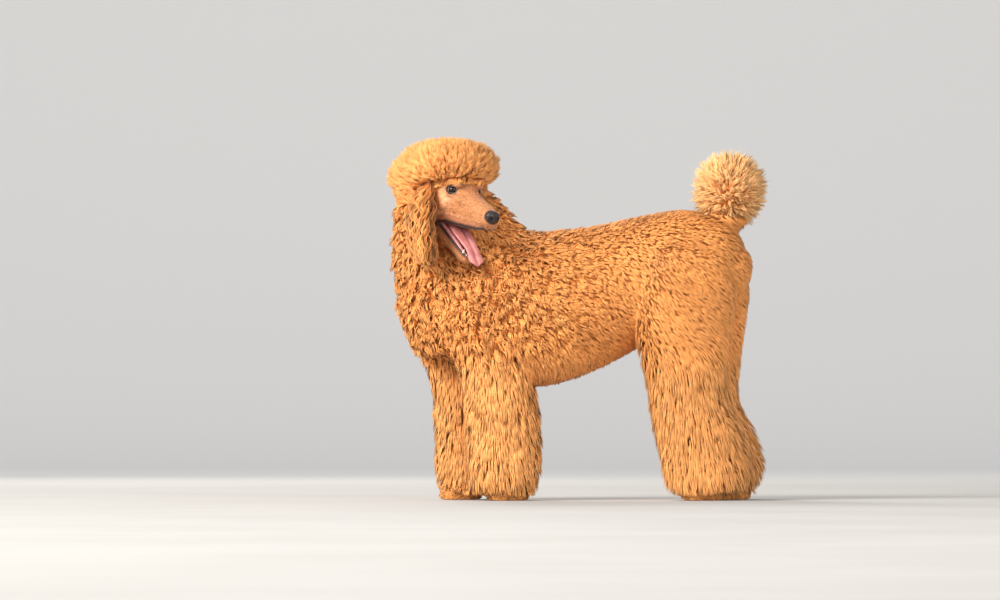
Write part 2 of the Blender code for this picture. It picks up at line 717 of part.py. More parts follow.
def largestOnly(obj):
    """Keeps the largest closed surface, so that no crumb of a cut is left."""
    bm = bmesh.new()
    bm.from_mesh(obj.data)
    bmesh.ops.remove_doubles(bm, verts=bm.verts, dist=weld)
    left = set(bm.verts)
    groups = []
    while left:
        stack = [left.pop()]
        group = list(stack)
        while stack:
            for edge in stack.pop().link_edges:
                for v in edge.verts:
                    if v in left:
                        left.remove(v)
                        stack.append(v)
                        group.append(v)
        groups.append(group)
    groups.sort(key=len)
    spare = [v for group in groups[:-1] for v in group]
    bmesh.ops.delete(bm, geom=spare, context="VERTS")
    bmesh.ops.dissolve_limit(bm, angle_limit=flatAngle, verts=bm.verts, edges=bm.edges)
    bmesh.ops.triangulate(bm, faces=bm.faces)
    bm.to_mesh(obj.data)
    bm.free()


def cellObject(name, planes, matrix=None, reach=1.6):
    """The convex space inside planes of (point, outward normal)."""
    bm = bmesh.new()
    bmesh.ops.create_cube(bm, size=reach)
    for point, outward in planes:
        geom = [*bm.verts, *bm.edges, *bm.faces]
        normal = Vector(outward).normalized()
        bmesh.ops.bisect_plane(bm, geom=geom, plane_co=Vector(point), plane_no=normal, clear_outer=True)
        rim = [e for e in bm.edges if e.is_boundary]
        bmesh.ops.holes_fill(bm, edges=rim, sides=0)
    bmesh.ops.recalc_face_normals(bm, faces=bm.faces)
    return cutter(name, bm, matrix)


def shifted(planes, amount):
    """The same planes moved outwards by amount."""
    return [(Vector(p) + Vector(n).normalized() * amount, n) for p, n in planes]


def keepInside(obj, planes, matrix=None):
    boolean(obj, cellObject("cell", shifted(planes, -gap / 2), matrix), "INTERSECT")


def cutAway(obj, planes, matrix=None):
    boolean(obj, cellObject("cell", shifted(planes, gap / 2), matrix), "DIFFERENCE")


def legPlanes(name, leg):
    """The cell of a leg: beside the middle of the body, below a slant and clear of the belly."""
    cut = legCuts[name[:4]]
    side = leftAt(cut["middle"]) * leg["side"]
    middle = Vector((cut["middle"], spineAt(cut["middle"]), 0))
    slant = middle + side * cut["aside"] + Vector((0, 0, cut["height"]))
    wallPoint, wallNormal = cut["wall"]
    wall = (Vector(wallPoint) + Vector((leg["shift"], 0, 0)), wallNormal)
    return [(middle, -side), (slant, Vector((0, 0, 1)) - side * cut["slant"]), wall]


def bodyPieces(depthShare):
    pieces = [torsoLoft(depthShare), neckLoft(depthShare)]
    pieces += [legLoft(leg, depthShare) for leg in legs.values()]
    return pieces + tailPieces(depthShare)


def surfaceSamples(obj, count, random):
    """Evenly random points on a mesh, with their normals, and its whole area."""
    mesh = obj.data
    mesh.calc_loop_triangles()
    corners = np.array([[mesh.vertices[i].co for i in t.vertices] for t in mesh.loop_triangles])
    cross = np.cross(corners[:, 1] - corners[:, 0], corners[:, 2] - corners[:, 0])
    area = np.linalg.norm(cross, axis=1) / 2
    which = random.choice(len(area), size=count, p=area / area.sum())
    a, b = random.random((2, count, 1))
    flip = a + b > 1
    a, b = np.where(flip, 1 - a, a), np.where(flip, 1 - b, b)
    points = corners[which, 0] * (1 - a - b) + corners[which, 1] * a + corners[which, 2] * b
    normals = cross[which] / np.maximum(2 * area[which, None], 1e-12)
    return points, normals, area.sum()


def spreadOver(obj, form, samples=9000, turns=14):
    """Points about one spacing apart all over a surface: random ones, each moved to the middle of its patch."""
    random = np.random.default_rng(form["seed"])
    points, normals, area = surfaceSamples(obj, samples, random)
    wanted = points[:, 2] > form["above"]
    points, normals = points[wanted], normals[wanted]
    count = int(area * wanted.mean() / (form["spacing"] ** 2 * math.sin(math.radians(60))))
    middles = points[random.choice(len(points), count, replace=False)]
    for turn in range(turns):
        nearest = ((points[:, None] - middles[None]) ** 2).sum(2).argmin(1)
        middles = np.array([points[nearest == k].mean(0) if (nearest == k).any() else middles[k]
                            for k in range(count)])
    chosen = ((points[:, None] - middles[None]) ** 2).sum(2).argmin(0)
    return [(Vector(points[i]), Vector(normals[i])) for i in chosen]


def lieOf(point):
    """Which way the hair lies, and how far its clumps stretch: down the legs, back and down over the body."""
    low = min(max((0.40 - point.z) / 0.12, 0), 1)
    return Vector((0.75 * (1 - low), 0, -0.45 - low)).normalized(), 1.15 + 0.15 * low


def clumpBall(point, normal, deep, form, random):
    """A rounded clump whose top touches the outline at point."""
    lie, stretch = lieOf(point)
    along = lie - lie.dot(normal) * normal
    along = along.normalized() if along.length > 0.05 else normal.orthogonal().normalized()
    side = normal.cross(along)
    across = form["spacing"] * form["width"] * random.uniform(0.92, 1.10)
    spin = Matrix.Rotation(random.uniform(0, 1), 3, "Z")
    bm = bmesh.new()
    bmesh.ops.create_uvsphere(bm, u_segments=form["sides"], v_segments=form["rings"], radius=1)
    for v in bm.verts:
        p = spin @ v.co
        flat = along * p.x * stretch + side * p.y / stretch ** 0.5
        v.co = point + flat * across + normal * (p.z - 1) * deep
    return bm


def addClumps(core, outline, form):
    """Clumps over the whole outline, each as deep as the core lies below it, fused to the core."""
    mesh = core.data
    tree = BVHTree.FromPolygons([v.co.copy() for v in mesh.vertices], [p.vertices[:] for p in mesh.polygons])
    random = np.random.default_rng(form["seed"])
    pieces = []
    for point, normal in spreadOver(outline, form):
        deep = min(tree.find_nearest(point)[3], form["deepest"]) + form["sunk"]
        pieces.append(clumpBall(point, normal, deep, form, random))
    bpy.data.objects.remove(outline, do_unlink=True)
    addPieces(core, pieces, "MANIFOLD")     # EXACT is slow on hundreds of clumps
    modify(core, "DECIMATE", ratio=form["kept"])
    print(core.name, len(pieces), "clumps", len(core.data.polygons), "triangles")


def bodyNodes():
    """The clumped body, parted into torso, neck, legs and tail."""
    body = fused("torso", bodyPieces(coreShare), bodyForm)
    addClumps(body, fused("outline", bodyPieces(0.0), bodyForm, reduced=False), clumps)
    cells = {name: legPlanes(name, leg) for name, leg in legs.items()}
    cells["neck"] = neckPlanes
    cells["tail"] = tailPlanes
    nodes = {}
    for name, planes in cells.items():
        nodes[name] = copyOf(body, name)
        keepInside(nodes[name], planes)
    for name in legs:
        keepInside(nodes[name], [((0, 0, floorGap), (0, 0, -1))])
    for planes in cells.values():
        cutAway(body, planes)
    nodes["torso"] = body
    return nodes


def headNodes(head):
    """Head, lower jaw, tongue, nose and eyes."""
    skull = fused("head", headPieces(), headForm, matrix=head)
    for hollow in mouthHollows():
        boolean(skull, cutter("hollow", hollow, head), "DIFFERENCE")
    keepInside(skull, [headRear, browPlane], head)
    jaw = copyOf(skull, "lower_jaw")
    keepInside(jaw, jawPlanes, head)
    cutAway(skull, jawPlanes, head)
    teeth = [toothCone(*tooth) for tooth in lowerTeeth]
    for tooth in teeth:
        bmesh.ops.transform(tooth, matrix=head, verts=tooth.verts)
    addPieces(jaw, teeth)
    for target in (skull, jaw):
        boolean(target, cutter("tongue_cut", tongueLoft(gap), head), "DIFFERENCE")
    nose = newObject("nose", noseBall(0), head)
    boolean(skull, cutter("nose_cut", noseBall(gap), head), "DIFFERENCE")
    nodes = {"head": skull, "lower_jaw": jaw, "nose": nose, "tongue": newObject("tongue", tongueLoft(), head)}
    for side, word in ((1, "left"), (-1, "right")):
        boolean(nose, cutter("nostril_cut", nostrilCutter(side), head), "DIFFERENCE")
        boolean(skull, cutter("eye_cut", eyeBall(side, gap), head), "DIFFERENCE")
        boolean(skull, cutter("lid_cut", lidCutter(side), head), "DIFFERENCE")
        nodes["eye_" + word] = newObject("eye_" + word, eyeBall(side), head)
    return nodes


def topknotNode(head):
    topknot = fused("topknot", topknotBalls(coreShare), topknotForm)
    addClumps(topknot, fused("outline", topknotBalls(0.0), topknotForm, reduced=False), topClumps)
    topknot.data.transform(head)
    keepInside(topknot, [aboveBrow], head)
    return topknot


def clawCone(root, forward):
    bm = bmesh.new()
    bmesh.ops.create_cone(bm, segments=claw["sides"], radius1=claw["radius"], radius2=claw["tip"],
                          depth=claw["length"], cap_ends=True)
    aim = Vector((forward.x, forward.y, claw["down"])).to_track_quat("Z", "Y").to_matrix().to_4x4()
    bmesh.ops.transform(bm, matrix=Matrix.Translation(root) @ aim, verts=bm.verts)
    return bm


def pawNode(name, leg):
    """Four toes with their claws and the pads behind them, flat under."""
    x = leg["stations"][-1][1] + leg["shift"]
    centre = Vector((x, spineAt(x), 0)) + leftAt(x) * leg["side"] * leg["foot"]
    forward = Vector(paw["turn"]).normalized()
    pad = centre + Vector((paw["padBack"], 0, paw["padHeight"]))
    pieces = [superBall(pad, paw["pad"], 2.6, rings=6, sides=10)]
    for j in range(4):
        ahead = paw["longAhead"] if j in (1, 2) else paw["shortAhead"]
        place = centre + forward * ahead + Vector((0, (j - 1.5) * paw["apart"], paw["toeHeight"]))
        pieces.append(superBall(place, paw["toe"], 2.3, rings=4, sides=6))
        pieces.append(clawCone(place + forward * claw["ahead"], forward))
    solid = unite(name, pieces)
    keepInside(solid, [((0, 0, gap / 2), (0, 0, -1)), ((0, 0, floorGap), (0, 0, 1))])
    return solid


def paint(obj, kind):
    made = bpy.data.materials.new(obj.name)
    made.use_nodes = True
    shader = made.node_tree.nodes["Principled BSDF"]
    shader.inputs["Base Color"].default_value = (*colours[kind], 1)
    shader.inputs["Roughness"].default_value = roughness.get(kind, coatRoughness)
    made.diffuse_color = (*colours[kind], 1)
    obj.data.materials.clear()
    obj.data.materials.append(made)


def kindOf(name):
    """The colour that a node takes."""
    kinds = {
        "neck": "body",
        "torso": "body",
        "head": "face",
        "lower": "face",
        "foreleg": "body",
        "hindleg": "body",
        "forepaw": "paw",
        "hindpaw": "paw",
    }
    first = name.split("_")[0]
    return kinds.get(first, first)


def setOnFloor(nodes):
    """Moves the dog so that the middle of its box's bottom is the origin."""
    corners = np.array([v.co for obj in nodes.values() for v in obj.data.vertices])
    low, high = corners.min(0), corners.max(0)
    shift = Vector((-(low[0] + high[0]) / 2, -(low[1] + high[1]) / 2, -low[2]))
    for obj in nodes.values():
        obj.data.transform(Matrix.Translation(shift))
    print("box", high - low, "shift", shift)


def buildDog():
    clearScene()
    head = headMatrix()
    nodes = bodyNodes()
    nodes["topknot"] = topknotNode(head)
    cutAway(nodes["neck"], [aboveBrow], head)
    cutAway(nodes["neck"], [headRear, throatPlane, *headSides], head)
    nodes.update(headNodes(head))
    for side, word in ((1, "left"), (-1, "right")):
        ear = earSolid("ear_" + word, side)
        cutAway(ear, [aboveBrow], head)
        for target in ("neck", "head", "torso"):
            boolean(nodes[target], cutter("ear_cut", earEnvelope(side, earRoom)), "DIFFERENCE")
        nodes["ear_" + word] = ear
    for name, leg in legs.items():
        word = name.replace("leg", "paw")
        nodes[word] = pawNode(word, leg)
    for name, obj in nodes.items():
        obj.name = name
        largestOnly(obj)
        paint(obj, kindOf(name))
        print(name, len(obj.data.polygons))
    setOnFloor(nodes)


buildDog()
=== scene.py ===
import math

import bmesh
import bpy
import numpy as np
from mathutils import Matrix, Vector
from mathutils.bvhtree import BVHTree
from mathutils.kdtree import KDTree


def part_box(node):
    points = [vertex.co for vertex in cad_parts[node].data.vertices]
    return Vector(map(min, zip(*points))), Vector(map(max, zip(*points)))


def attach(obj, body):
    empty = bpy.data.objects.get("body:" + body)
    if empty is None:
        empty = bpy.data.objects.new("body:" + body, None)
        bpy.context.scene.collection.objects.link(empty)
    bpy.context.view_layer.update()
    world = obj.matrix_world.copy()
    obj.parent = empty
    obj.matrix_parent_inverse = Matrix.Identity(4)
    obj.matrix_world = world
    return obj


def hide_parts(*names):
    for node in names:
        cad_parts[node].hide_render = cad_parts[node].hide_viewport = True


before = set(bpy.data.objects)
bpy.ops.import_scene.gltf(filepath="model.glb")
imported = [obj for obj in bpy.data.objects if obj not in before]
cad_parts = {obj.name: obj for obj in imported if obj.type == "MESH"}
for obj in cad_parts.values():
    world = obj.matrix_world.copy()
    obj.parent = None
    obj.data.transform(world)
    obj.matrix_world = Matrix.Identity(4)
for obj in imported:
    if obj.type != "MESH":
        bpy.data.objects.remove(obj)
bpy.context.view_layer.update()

# The dog faces -X with its left side towards -Y. Shapes are in metres, before the shift onto the frame's origin.
# Head axes: x forward, y to the dog's left, z up, from between the eyes.
pose = dict(
    bend=0.38, bendPeak=0.08, spineY=0.02,
    headYaw=math.radians(55), headPitch=math.radians(14.6), headRoll=math.radians(-2),
    eyeMiddle=Vector((-0.2415, -0.148, 0.6762)),
    jawOpen=math.radians(33), jawHinge=Vector((-0.045, 0, -0.050)),
)

# Torso: x, top, bottom and half width of the coat's outline, and the coat's depth.
torso = dict(stations=[
    (0.352, 0.570, 0.440, 0.072, 0.030), (0.318, 0.632, 0.390, 0.108, 0.030), (0.260, 0.647, 0.360, 0.128, 0.030),
    (0.190, 0.639, 0.350, 0.128, 0.030), (0.110, 0.622, 0.335, 0.122, 0.028), (0.040, 0.611, 0.300, 0.126, 0.028),
    (-0.030, 0.602, 0.268, 0.136, 0.028), (-0.100, 0.597, 0.250, 0.144, 0.030), (-0.180, 0.598, 0.262, 0.145, 0.032),
    (-0.260, 0.580, 0.285, 0.132, 0.036), (-0.315, 0.530, 0.320, 0.105, 0.038), (-0.345, 0.480, 0.360, 0.074, 0.038),
])
# Neck: centre, half width, half depth along the body, coat's depth.
neck = dict(stations=[
    ((-0.205, -0.012, 0.380), 0.118, 0.168, 0.040), ((-0.222, -0.018, 0.440), 0.124, 0.174, 0.040),
    ((-0.240, -0.024, 0.500), 0.114, 0.171, 0.042), ((-0.268, -0.024, 0.565), 0.101, 0.152, 0.044),
    ((-0.292, -0.027, 0.630), 0.088, 0.126, 0.044), ((-0.306, -0.036, 0.680), 0.076, 0.098, 0.040),
    ((-0.316, -0.042, 0.715), 0.060, 0.074, 0.034),
])
# Legs: height, centre along the body, half length and the coat's depth, then each leg's side, shift and offsets.
foreStations = [
    (0.430, -0.205, 0.100, 0.030), (0.360, -0.192, 0.098, 0.036), (0.300, -0.181, 0.086, 0.044),
    (0.250, -0.172, 0.083, 0.050), (0.200, -0.165, 0.085, 0.052), (0.150, -0.161, 0.086, 0.052),
    (0.100, -0.160, 0.085, 0.050), (0.055, -0.161, 0.080, 0.044), (0.030, -0.163, 0.072, 0.038),
]
hindStations = [
    (0.540, 0.250, 0.098, 0.028), (0.480, 0.243, 0.116, 0.030), (0.420, 0.237, 0.117, 0.034),
    (0.360, 0.236, 0.110, 0.040), (0.310, 0.239, 0.102, 0.046), (0.265, 0.242, 0.094, 0.048),
    (0.220, 0.2465, 0.090, 0.048), (0.178, 0.256, 0.093, 0.048), (0.133, 0.272, 0.100, 0.052),
    (0.089, 0.284, 0.103, 0.052), (0.055, 0.292, 0.095, 0.046), (0.030, 0.296, 0.080, 0.038),
]
legs = dict(
    foreleg_left=dict(stations=foreStations, side=1, shift=0.0, hip=0.074, foot=0.084),
    foreleg_right=dict(stations=foreStations, side=-1, shift=-0.070, hip=0.074, foot=0.084),
    hindleg_left=dict(stations=hindStations, side=1, shift=0.0, hip=0.072, foot=0.086),
    hindleg_right=dict(stations=hindStations, side=-1, shift=0.037, hip=0.072, foot=0.086),
)
legForm = dict(halfDepth=0.067, fullHalf=0.082, floorGap=0.020)


def spineAt(x):
    return pose["spineY"] - pose["bend"] * (x - pose["bendPeak"]) ** 2


def leftAt(x):
    # the dog's left, level, at that place along the bent body
    return Vector((-2 * pose["bend"] * (x - pose["bendPeak"]), -1, 0)).normalized()


def headTurn():
    turn = Matrix.Rotation(-pose["headYaw"], 4, "Z") @ Matrix.Rotation(pose["headPitch"], 4, "Y")
    return Matrix.Translation(pose["eyeMiddle"]) @ turn @ Matrix.Rotation(pose["headRoll"], 4, "X")


def smoothRow(rows, t):
    # Catmull-Rom through rows of numbers, t from 0 to 1
    last = len(rows) - 1
    at = min(max(t, 0.0), 1.0) * last
    i = min(int(at), last - 1)
    f = at - i
    a, b, c, d = rows[max(i - 1, 0)], rows[i], rows[i + 1], rows[min(i + 2, last)]
    return 0.5 * (2 * b + (c - a) * f + (2 * a - 5 * b + 4 * c - d) * f ** 2 + (3 * b - a - 3 * c + d) * f ** 3)


def joinRings(bm, a, b):
    for j in range(len(a)):
        n = (j + 1) % len(a)
        bm.faces.new((a[j], a[n], b[n], b[j]))


def loft(stations, leftHint, sides=24, steps=24, caps=(0.5, 0.5), capAngles=(20, 40, 60, 76, 86)):
    # closed tube through (centre, half width, half height, squareness), with rounded ends
    rows = [np.array([*s[0], s[1], s[2], s[3] if len(s) > 3 else 2.0], float) for s in stations]
    samples = [smoothRow(rows, k / steps) for k in range(steps + 1)]
    rings = []
    for k, row in enumerate(samples):
        along = Vector(samples[min(k + 1, steps)][:3] - samples[max(k - 1, 0)][:3]).normalized()
        left = Vector(leftHint(row[0]) if callable(leftHint) else leftHint)
        left = (left - left.dot(along) * along).normalized()
        rings.append([Vector(row[:3]), along, left, along.cross(left), row[3], row[4], row[5]])

    def capRings(ring, sign, share):
        reach = share * min(ring[4], ring[5])
        made = []
        for angle in capAngles:
            a = math.radians(angle)
            made.append([ring[0] + ring[1] * sign * reach * math.sin(a), *ring[1:4],
                         ring[4] * math.cos(a), ring[5] * math.cos(a), ring[6]])
        return made

    rings = capRings(rings[0], -1, caps[0])[::-1] + rings + capRings(rings[-1], 1, caps[1])
    bm = bmesh.new()
    grid = []
    for centre, along, left, up, wide, high, shape in rings:
        ring = []
        for j in range(sides):
            a = 2 * math.pi * j / sides
            c, s = math.cos(a), math.sin(a)
            x = math.copysign(abs(c) ** (2 / shape), c) * wide
            y = math.copysign(abs(s) ** (2 / shape), s) * high
            ring.append(bm.verts.new(centre + left * x + up * y))
        grid.append(ring)
    for a, b in zip(grid, grid[1:]):
        joinRings(bm, a, b)
    bm.faces.new(grid[0][::-1])
    bm.faces.new(grid[-1])
    bmesh.ops.recalc_face_normals(bm, faces=bm.faces)
    return bm


def unitBall(sides, rings):
    # corners and faces always in the same order, so that each run gives the same mesh
    bm = bmesh.new()
    turns = [2 * math.pi * j / sides for j in range(sides)]
    grid = []
    for k in range(1, rings):
        wide, high = math.sin(math.pi * k / rings), math.cos(math.pi * k / rings)
        grid.append([bm.verts.new((wide * math.cos(a), wide * math.sin(a), high)) for a in turns])
    top, bottom = bm.verts.new((0, 0, 1)), bm.verts.new((0, 0, -1))
    for j in range(sides):
        n = (j + 1) % sides
        bm.faces.new((top, grid[0][j], grid[0][n]))
        bm.faces.new((bottom, grid[-1][n], grid[-1][j]))
        for a, b in zip(grid, grid[1:]):
            bm.faces.new((a[j], b[j], b[n], a[n]))
    return bm


def ball(centre, radii, power=2.0, rings=24, sides=32):
    bm = unitBall(sides, rings)
    for v in bm.verts:
        d = v.co.normalized()
        r = (abs(d.x) ** power + abs(d.y) ** power + abs(d.z) ** power) ** (-1 / power)
        v.co = Vector((d.x * r * radii[0], d.y * r * radii[1], d.z * r * radii[2])) + Vector(centre)
    return bm


def tube(points, radii, sides=12, steps=40):
    return loft([(p, r, r) for p, r in zip(points, radii)], (0.1, 0.2, 1), sides, steps, (0.9, 0.9))


def torsoLoft(share):
    stations = []
    for x, top, bottom, wide, coat in torso["stations"]:
        inset = coat * share
        stations.append(((x, spineAt(x), (top + bottom) / 2), wide - inset, (top - bottom) / 2 - inset, 2.25))
    return loft(stations, leftAt, 40, 44, (0.55, 0.7))


def neckLoft(share):
    stations = [(c, wide - coat * share, deep - coat * share, 2.15) for c, wide, deep, coat in neck["stations"]]
    return loft(stations, leftAt(-0.25), 40, 30, (0.3, 0.45))


def legLoft(leg, share):
    stations = []
    top = leg["stations"][0][0]
    for z, x, half, coat in leg["stations"]:
        inset = coat * share
        across = leftAt(x) * leg["side"] * (leg["foot"] + (leg["hip"] - leg["foot"]) * z / top)
        wide = legForm["halfDepth"] * min(1, half / legForm["fullHalf"]) - inset
        stations.append(((x + leg["shift"], spineAt(x) + across.y, z), wide, half - inset, 2.1))
    return loft(stations, (0.15, -1, 0), 32, 36, (0.3, 0.18))


topknot = dict(centre=Vector((-0.081, 0, 0.0315)), radii=Vector((0.114, 0.114, 0.070)), power=2.35,
               tilt=math.radians(-17), coat=0.070,
               napeCentre=Vector((-0.138, 0, -0.008)), napeRadii=Vector((0.079, 0.108, 0.066)), napePower=2.3)


def topknotBalls(share):
    inset = topknot["coat"] * share
    main = ball((0, 0, 0), topknot["radii"] - Vector((inset, inset, inset * 0.9)), topknot["power"])
    tilt = Matrix.Translation(topknot["centre"]) @ Matrix.Rotation(topknot["tilt"], 4, "Y")
    bmesh.ops.transform(main, matrix=tilt, verts=main.verts)
    nape = topknot["napeRadii"] - Vector((inset, inset, inset * 0.8))
    return [main, ball(topknot["napeCentre"], nape, topknot["napePower"])]


tail = dict(centre=Vector((0.343, 0.0, 0.688)), radii=Vector((0.082, 0.076, 0.085)), coat=0.056, stem=[
    ((0.300, 0, 0.575), 0.040, 0.042, 0.3), ((0.322, 0, 0.612), 0.042, 0.044, 0.4),
    ((0.336, 0, 0.650), 0.046, 0.048, 0.5), ((0.343, 0, 0.690), 0.040, 0.040, 0.0),
])


def tailPieces(share):
    inset = tail["coat"] * share
    stem = [(p, w - inset * part, d - inset * part) for p, w, d, part in tail["stem"]]
    return [ball(tail["centre"], tail["radii"] - Vector((inset,) * 3), 2.1), loft(stem, (0, -1, 0))]


# Head. Skull rows: along, top, bottom, half width. The jaw's rows are those of the shut mouth.
head = dict(
    skull=[
        (-0.118, 0.008, -0.028, 0.028), (-0.104, 0.028, -0.050, 0.044), (-0.080, 0.038, -0.066, 0.051),
        (-0.050, 0.040, -0.073, 0.0535), (-0.022, 0.028, -0.074, 0.049), (0.000, 0.0125, -0.071, 0.0390),
        (0.016, 0.0040, -0.069, 0.0315), (0.035, -0.0015, -0.067, 0.0270), (0.060, -0.0070, -0.065, 0.0255),
        (0.085, -0.0130, -0.0635, 0.0243), (0.103, -0.0190, -0.0620, 0.0222), (0.1135, -0.0240, -0.0590, 0.0180),
    ],
    jaw=[
        (-0.070, -0.045, -0.096, 0.044), (-0.035, -0.064, -0.099, 0.043), (0.000, -0.067, -0.096, 0.0355),
        (0.030, -0.067, -0.093, 0.0280), (0.058, -0.066, -0.089, 0.0225), (0.078, -0.065, -0.086, 0.0190),
        (0.088, -0.066, -0.082, 0.0140),
    ],
    roof=[
        (-0.030, -0.078, -0.060, 0.0280), (0.000, -0.078, -0.059, 0.0240), (0.030, -0.078, -0.0575, 0.0185),
        (0.060, -0.078, -0.0565, 0.0155), (0.085, -0.078, -0.0560, 0.0135), (0.098, -0.076, -0.0575, 0.0100),
    ],
    trough=[
        (-0.028, -0.050, -0.078, 0.030), (0.000, -0.050, -0.0785, 0.0245), (0.030, -0.050, -0.0780, 0.0180),
        (0.058, -0.050, -0.0760, 0.0135), (0.076, -0.050, -0.0740, 0.0095),
    ],
    upperLip=[
        (0.110, 0.005, -0.0590), (0.105, 0.0125, -0.0610), (0.088, 0.0190, -0.0635), (0.060, 0.0215, -0.0665),
        (0.030, 0.0250, -0.0680), (0.002, 0.0320, -0.0680), (-0.020, 0.0400, -0.0720), (-0.033, 0.0435, -0.0830),
    ],
    upperLipRadii=[0.0040, 0.0046, 0.0050, 0.0052, 0.0052, 0.0052, 0.0052, 0.0046],
    lowerLip=[
        (0.086, 0.006, -0.0665), (0.080, 0.0135, -0.0665), (0.058, 0.0195, -0.0670), (0.030, 0.0250, -0.0680),
        (0.000, 0.0325, -0.0680), (-0.022, 0.0400, -0.0650),
    ],
    lowerLipRadii=[0.0034, 0.0036, 0.0038, 0.0040, 0.0042, 0.0044],
    flews=((0.0012, 0.0065, 0.0008), (0.0035, 0.0130, 0.0016)),
    voxel=0.0015, smooth=4,
)
eye = dict(place=Vector((-0.0085, 0.0300, 0.0)), radius=0.0120, gaze=(0.72, 0.68, 0.08),
           bulge=0.00055, bulgeTo=0.62, gap=0.0001)
nose = dict(middle=Vector((0.1125, 0, -0.0345)), radii=Vector((0.0125, 0.0175, 0.0145)),
            nostril=((0.1235, 0.0092, -0.0368), (0.0096, 0.0050, 0.0056)), voxel=0.0006,
            slit=[(0.1215, 0.0105, -0.0375), (0.1190, 0.0145, -0.0385), (0.1140, 0.0182, -0.0375)],
            slitRadii=[0.0022, 0.0016, 0.0014], grooveRadii=[0.0007, 0.0010, 0.0012],
            groove=[(0.1262, 0, -0.0300), (0.1262, 0, -0.0400), (0.1215, 0, -0.0500)])
# Swellings of the left of the head: middle and radii.
swellings = dict(
    cheekBone=((-0.036, 0.0370, -0.028), (0.034, 0.0170, 0.024)),
    chewingMuscle=((-0.046, 0.0360, -0.062), (0.028, 0.0160, 0.030)),
    brow=((-0.004, 0.0270, 0.0135), (0.017, 0.0130, 0.0085)),
    lids=(tuple(eye["place"]), (0.0150, 0.0148, 0.0145)),
    belowEye=((0.018, 0.0225, -0.018), (0.024, 0.0100, 0.013)),
    whiskerPad=((0.094, 0.0140, -0.048), (0.017, 0.0105, 0.014)),
)


# How each row of the head becomes a closed form: squareness, sides, steps, rounded ends, turned with the open jaw.
headForms = dict(skull=(2.2, 40, 60, (0.6, 0.35), False), jaw=(2.3, 32, 30, (0.6, 0.5), True),
                 roof=(2.6, 24, 20, (0.5, 0.5), False), trough=(2.6, 24, 20, (0.5, 0.5), True))
muzzle = dict(behind=0.005, power=2.5)           # where the skull's rows grow squarer, and how square


def sided(point, side):
    return (point[0], point[1] * side, point[2])


def jawTurned(point):
    hinge = pose["jawHinge"]
    return hinge + Matrix.Rotation(pose["jawOpen"], 3, "Y") @ (Vector(point) - hinge)


def headLoft(word):
    power, sides, steps, caps, turned = headForms[word]
    stations = []
    for along, top, bottom, wide in head[word]:
        middle = (along, 0, (top + bottom) / 2)
        shape = muzzle["power"] if word == "skull" and along >= muzzle["behind"] else power
        stations.append((jawTurned(middle) if turned else middle, wide, abs(top - bottom) / 2, shape))
    return loft(stations, (0, 1, 0), sides, steps, caps)


def headPieces():
    made = [headLoft("skull"), headLoft("jaw")]
    for side in (1, -1):
        made += [ball(sided(middle, side), radii) for middle, radii in swellings.values()]
        made.append(tube([sided(p, side) for p in head["upperLip"]], head["upperLipRadii"]))
        for inward, up, grow in head["flews"]:
            points = [(x, (y - inward) * side, z + up) for x, y, z in head["upperLip"]]
            made.append(tube(points, [r + grow for r in head["upperLipRadii"]]))
        made.append(tube([jawTurned(sided(p, side)) for p in head["lowerLip"]], head["lowerLipRadii"]))
    return made


def mouthHollows():
    return [headLoft("roof"), headLoft("trough")]


# Ears: how far each row lies below the root, outwards and forwards of it, its half width and half thickness with
# its hair, first the right ear's, then the left one's.
ear = dict(
    rows={
        -1: [(-0.010, 0.010, 0.006, 0.026, 0.010), (0.014, 0.020, 0.012, 0.042, 0.013),
             (0.050, 0.033, 0.022, 0.053, 0.015), (0.092, 0.040, 0.033, 0.057, 0.016),
             (0.132, 0.040, 0.043, 0.052, 0.016), (0.172, 0.035, 0.051, 0.040, 0.014)],
        1: [(-0.010, 0.010, 0.000, 0.026, 0.010), (0.014, 0.026, -0.002, 0.042, 0.013),
            (0.048, 0.046, -0.004, 0.053, 0.015), (0.088, 0.060, -0.006, 0.057, 0.016),
            (0.128, 0.068, -0.008, 0.052, 0.016), (0.166, 0.070, -0.010, 0.040, 0.014)],
    },
    root=Vector((-0.075, 0.051, -0.013)), lobeWidth=0.74, lobeThick=0.30, inward=0.45, lobeEnd=0.62,
    locks={-1: 1350, 1: 350}, segments=12, width=0.0018, waves=19.0, sway=0.080, bulge=0.45,
    startTo=0.78, long=(0.30, 0.60), endAt=(0.86, 1.04), outer=0.74,
    profile=((0, 0.2, 0.6, 1), (0.7, 1.05, 1.05, 0.5)), tableRows=60,
)


def earAxes(side):
    place = ear["root"]
    root = headTurn() @ Vector((place.x, place.y * side, place.z))
    yaw = pose["headYaw"]
    forward = Vector((math.cos(yaw), -math.sin(yaw), 0))
    outward = Vector((math.sin(yaw), math.cos(yaw), 0)) * side
    wideAxis = (forward + outward * (0.25 if side < 0 else 0.05)).normalized()
    proudAxis = wideAxis.cross(Vector((0, 0, 1))).normalized()
    if proudAxis.dot(outward) < 0:
        proudAxis = -proudAxis
    return root, outward, forward, wideAxis, proudAxis


def earPoint(side, t, across=0.0, proud=0.0):
    # t runs down the ear; across and proud are shares of its half width and half thickness
    root, outward, forward, wideAxis, proudAxis = earAxes(side)
    below, out, ahead, wide, thick = smoothRow([np.array(r) for r in ear["rows"][side]], t)
    centre = root + outward * out + forward * ahead - Vector((0, 0, below))
    return centre + wideAxis * wide * across + proudAxis * thick * proud, wide, thick


def lobeLoft(side):
    stations = []
    for k in range(8):
        centre, wide, thick = earPoint(side, ear["lobeEnd"] * k / 7, 0, -ear["inward"])
        stations.append((centre, wide * ear["lobeWidth"], thick * ear["lobeThick"], 2.2))
    return loft(stations, earAxes(side)[3], 24, 24, (0.4, 0.9))


